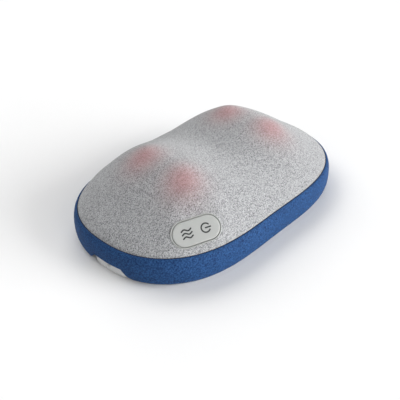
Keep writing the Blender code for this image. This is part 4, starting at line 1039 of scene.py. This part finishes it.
KEY_LEVELS = [(0.0, -2.5), (0.0, -0.2), (0.05, 0.25), (0.25, 0.62), (0.6, 0.84), (1.2, 0.94),
              (2.4, 0.98), (5.0, 1.02), (8.0, 1.05), (11.0, 1.06)]
BEZEL_LEVELS = [(-1.65, -12.5), (-1.65, 0.0), (-1.58, 0.28), (-1.35, 0.48), (-1.05, 0.54),
                (-0.75, 0.48), (-0.55, 0.28), (-0.45, 0.0), (-0.45, -10.9)]
RIB_HALF_WIDTH = 2.6 * MM
RIB_TOP = -1.9 * MM


def key_top(along, across):
    """Height of the key's top in the key's own frame."""
    inside = KEY_WIDTH / 2 - np.hypot(np.maximum(0, np.abs(along) - KEY_STRAIGHT), across)
    levels = np.array(KEY_LEVELS[3:]) * MM
    return np.interp(inside, levels[:, 0], levels[:, 1])


def pin_hole_tool(move=Matrix()):
    """Cutter for the hole of the key's pin, drawn in the key's own frame and moved from there."""
    half = KEY_WIDTH / 2 + 4 * MM
    ends = [move @ Vector((0, y, -PIN_DEPTH)) for y in (-half, half)]
    return rod_tool(*ends, PIN_RADIUS + RUNNING_FIT, 24)


def make_bezel():
    """Pill-shaped key housing with a rounded rim."""
    bezel = loft("key_rim", [pill_ring(inset * MM, z * MM) for inset, z in BEZEL_LEVELS])
    place_at_key(bezel)
    combine(bezel, [pin_hole_tool(KEY_FRAME)], "DIFFERENCE")
    settle(bezel, "housing", "key_plastic", ["control_bezel"])


def make_key():
    """Rocker key with a crowned top, and the rib that its pin goes through."""
    key = loft("key_cap", [pill_ring(inset * MM, z * MM) for inset, z in KEY_LEVELS])
    end = KEY_WIDTH / 2 - 1 * MM
    rib = box_tool((-RIB_HALF_WIDTH, -end, -PIN_DEPTH - RIB_HALF_WIDTH), (RIB_HALF_WIDTH, end, RIB_TOP))
    combine(key, [rib], "UNION")
    combine(key, [pin_hole_tool()], "DIFFERENCE")
    place_at_key(key)
    settle(key, "rocker", "key_plastic", ["rocker_key"], sharp=35)


ICON_OFFSET = 9.5 * MM
ICON_LIFT = 0.05 * MM
ICON_SINK = 0.3 * MM
LINE_HALF_WIDTH = 0.72 * MM
WAVE_SPACING = 3.5 * MM
WAVE_LENGTH = 8.4 * MM
WAVE_HEIGHT = 0.9 * MM
WAVE_SPAN = (-0.08, 1.10)     # in whole waves
RING_RADIUS = 4.4 * MM
RING_GAP = 38                 # degrees on each side of the bar
BAR_SPAN = (-0.2 * MM, 4.9 * MM)


def ribbon(name, path, ink):
    """A printed line on the key along a path of (along, across) points, with round ends."""
    path = np.array(path)
    ahead = unit(np.gradient(path, axis=0))
    side = np.stack([-ahead[:, 1], ahead[:, 0]], 1)
    left = path + LINE_HALF_WIDTH * side
    right = path - LINE_HALF_WIDTH * side
    turn = np.radians(np.linspace(90, -90, 9)[1:-1])
    tip = [path[-1] + LINE_HALF_WIDTH * (cos(a) * ahead[-1] + sin(a) * side[-1]) for a in turn]
    tail = [path[0] - LINE_HALF_WIDTH * (cos(a) * ahead[0] + sin(a) * side[0]) for a in turn]
    edge = np.array(list(left) + tip + list(right[::-1]) + tail)
    rings = []
    for lift in (-ICON_SINK, ICON_LIFT):
        z = key_top(edge[:, 0], edge[:, 1]) + lift
        rings.append(np.column_stack([edge, z]))
    points = np.concatenate(rings)
    count = len(edge)
    faces = [tuple(range(count))[::-1], tuple(range(count, 2 * count))]
    faces += [(i, (i + 1) % count, count + (i + 1) % count, count + i) for i in range(count)]
    line = add_object(name, points, faces)
    place_at_key(line)
    settle(line, "rocker", "key_plastic", material=ink)


def make_icons():
    """Three heat waves on one side of the key and a power sign on the other."""
    ink = icon_material()
    for row in range(3):
        across = (row - 1) * WAVE_SPACING
        path = [(-ICON_OFFSET + (part - 0.5) * WAVE_LENGTH, across + WAVE_HEIGHT * sin(2 * pi * part))
                for part in np.linspace(*WAVE_SPAN, 40)]
        ribbon("heat_wave_%d" % (row + 1), path, ink)
    ring = arc((ICON_OFFSET, 0), RING_RADIUS, RING_GAP, 360 - RING_GAP, 60)
    ribbon("power_ring", ring, ink)
    bar = [(ICON_OFFSET + along, 0) for along in np.linspace(*BAR_SPAN, 12)]
    ribbon("power_bar", bar, ink)


# ---------------- massage nodes

NODE_EDGE = 1.2 * MM
NODE_BORE = 5.3 * MM
BORE_TOP = 5.5 * MM           # above the middle of the node's round top
BORE_DOME = [(0.7, 1.0), (2.0, 1.6)]    # how far the bore narrows, and how far up, in mm
BORE_RISE = 2.1 * MM


def make_nodes():
    """Gumdrop-shaped massage nodes, bored from below for their posts and lamps."""
    for joint in NODE_SPINS:
        node = joint["name"].replace("_spin", "")
        low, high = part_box(node)
        place = Vector(joint["pos_m"])
        radius = (high.x - low.x) / 2
        centre = high.z - radius
        profile = [(0, high.z)]
        profile += [(radius * sin(a), centre + radius * cos(a)) for a in np.linspace(0.06, pi / 2, 20)]
        profile.append((radius, low.z + NODE_EDGE + 0.3 * MM))
        profile += arc((radius - NODE_EDGE, low.z + NODE_EDGE), NODE_EDGE, 0, -90, 7)
        top = centre + BORE_TOP
        profile += [(NODE_BORE + 0.3 * MM, low.z), (NODE_BORE, low.z + 0.3 * MM), (NODE_BORE, top)]
        profile += [(NODE_BORE - inwards * MM, top + up * MM) for inwards, up in BORE_DOME]
        profile.append((0, top + BORE_RISE))
        piece = revolve(node + "_cap", profile, (place.x, place.y, 0), 64)
        settle(piece, joint["child"], "node_red", [node])


# ---------------- carried-over CAD nodes

def dress_cad_nodes():
    """Give every CAD node that still shows its slot's material and smooth shading between its
    creases."""
    for part in frame["record"]["subparts"]:
        obj = frame["nodes"][part["node"]]
        if obj.hide_render:
            continue
        obj.data.materials.clear()
        obj.data.materials.append(material_of(part["material_slot"]))
        obj.data.shade_smooth()
        weld = obj.modifiers.new("weld", "WELD")
        weld.merge_threshold = WELD_DISTANCE
        crease = obj.modifiers.new("crease", "EDGE_SPLIT")
        crease.split_angle = radians(35)


# ---------------- stage, light and camera

FLOOR_SIZE = 6.0
WORLD_STRENGTH = 0.02
BACKDROP_STRENGTH = 0.88
SUN_SOFTNESS = radians(45)
# name, compass direction and height in degrees, and strength
SUNS = [("low_front", -60, 12, 4.4), ("front", -90, 30, 0.9), ("right_back", 45, 40, 1.15),
        ("back", 100, 45, 1.35), ("left", 180, 35, 0.5)]

AZIMUTH = -137.5
ELEVATION = 32.9
DISTANCE = 0.70
LENS = 56.2
TARGET = Vector((0, 0, 40 * MM))
SHIFT = (-0.0215, -0.0722)


def direction(azimuth, elevation):
    """Unit vector from the object towards a compass direction, 0 being +X, and a height."""
    azimuth = radians(azimuth)
    elevation = radians(elevation)
    return Vector((cos(azimuth) * cos(elevation), sin(azimuth) * cos(elevation), sin(elevation)))


def make_stage():
    """Plain white floor."""
    points = [(x * FLOOR_SIZE, y * FLOOR_SIZE, 0) for x, y in ((-1, -1), (1, -1), (1, 1), (-1, 1))]
    floor = add_object("floor", points, [(0, 1, 2, 3)])
    material = bpy.data.materials.new("floor")
    material.use_nodes = True
    shader = material.node_tree.nodes["Principled BSDF"]
    shader.inputs["Base Color"].default_value = (0.92, 0.92, 0.92, 1)
    shader.inputs["Roughness"].default_value = 0.9
    shader.inputs["Specular IOR Level"].default_value = 0.1
    floor.data.materials.append(material)


def make_light():
    """Soft studio light from five broad suns, and a pale backdrop beyond the floor."""
    world = bpy.data.worlds.new("world")
    world.use_nodes = True
    tree = world.node_tree
    background = tree.nodes["Background"]
    background.inputs["Color"].default_value = (1.0, 1.0, 1.0, 1)
    rays = tree.nodes.new("ShaderNodeLightPath")
    strength = tree.nodes.new("ShaderNodeMath")
    strength.operation = "MULTIPLY_ADD"
    strength.inputs[1].default_value = BACKDROP_STRENGTH
    strength.inputs[2].default_value = WORLD_STRENGTH
    tree.links.new(rays.outputs["Is Camera Ray"], strength.inputs[0])
    tree.links.new(strength.outputs[0], background.inputs["Strength"])
    bpy.context.scene.world = world
    for name, azimuth, elevation, power in SUNS:
        sun = bpy.data.lights.new(name, "SUN")
        sun.energy = power
        sun.angle = SUN_SOFTNESS
        towards = direction(azimuth, elevation)
        link_object(name, sun).rotation_euler = towards.to_track_quat("Z", "Y").to_euler()
    bpy.context.scene.view_settings.view_transform = "Standard"
    bpy.context.scene.view_settings.look = "None"


def make_camera():
    """Camera at the left front of the object, looking down on it."""
    back = direction(AZIMUTH, ELEVATION)
    data = bpy.data.cameras.new("camera")
    data.lens = LENS
    data.sensor_width = 36
    data.shift_x, data.shift_y = SHIFT
    data.clip_start = 0.01
    camera = link_object("camera", data)
    camera.location = TARGET + back * DISTANCE
    camera.rotation_euler = (-back).to_track_quat("-Z", "Y").to_euler()
    bpy.context.scene.camera = camera


# ---------------- everything

for make in (make_cover, make_foam, make_band, make_piping, make_bottom_shell, make_feet, make_screws,
             make_jack, make_bezel, make_key, make_icons, make_nodes, dress_cad_nodes, make_stage,
             make_light, make_camera):
    make()
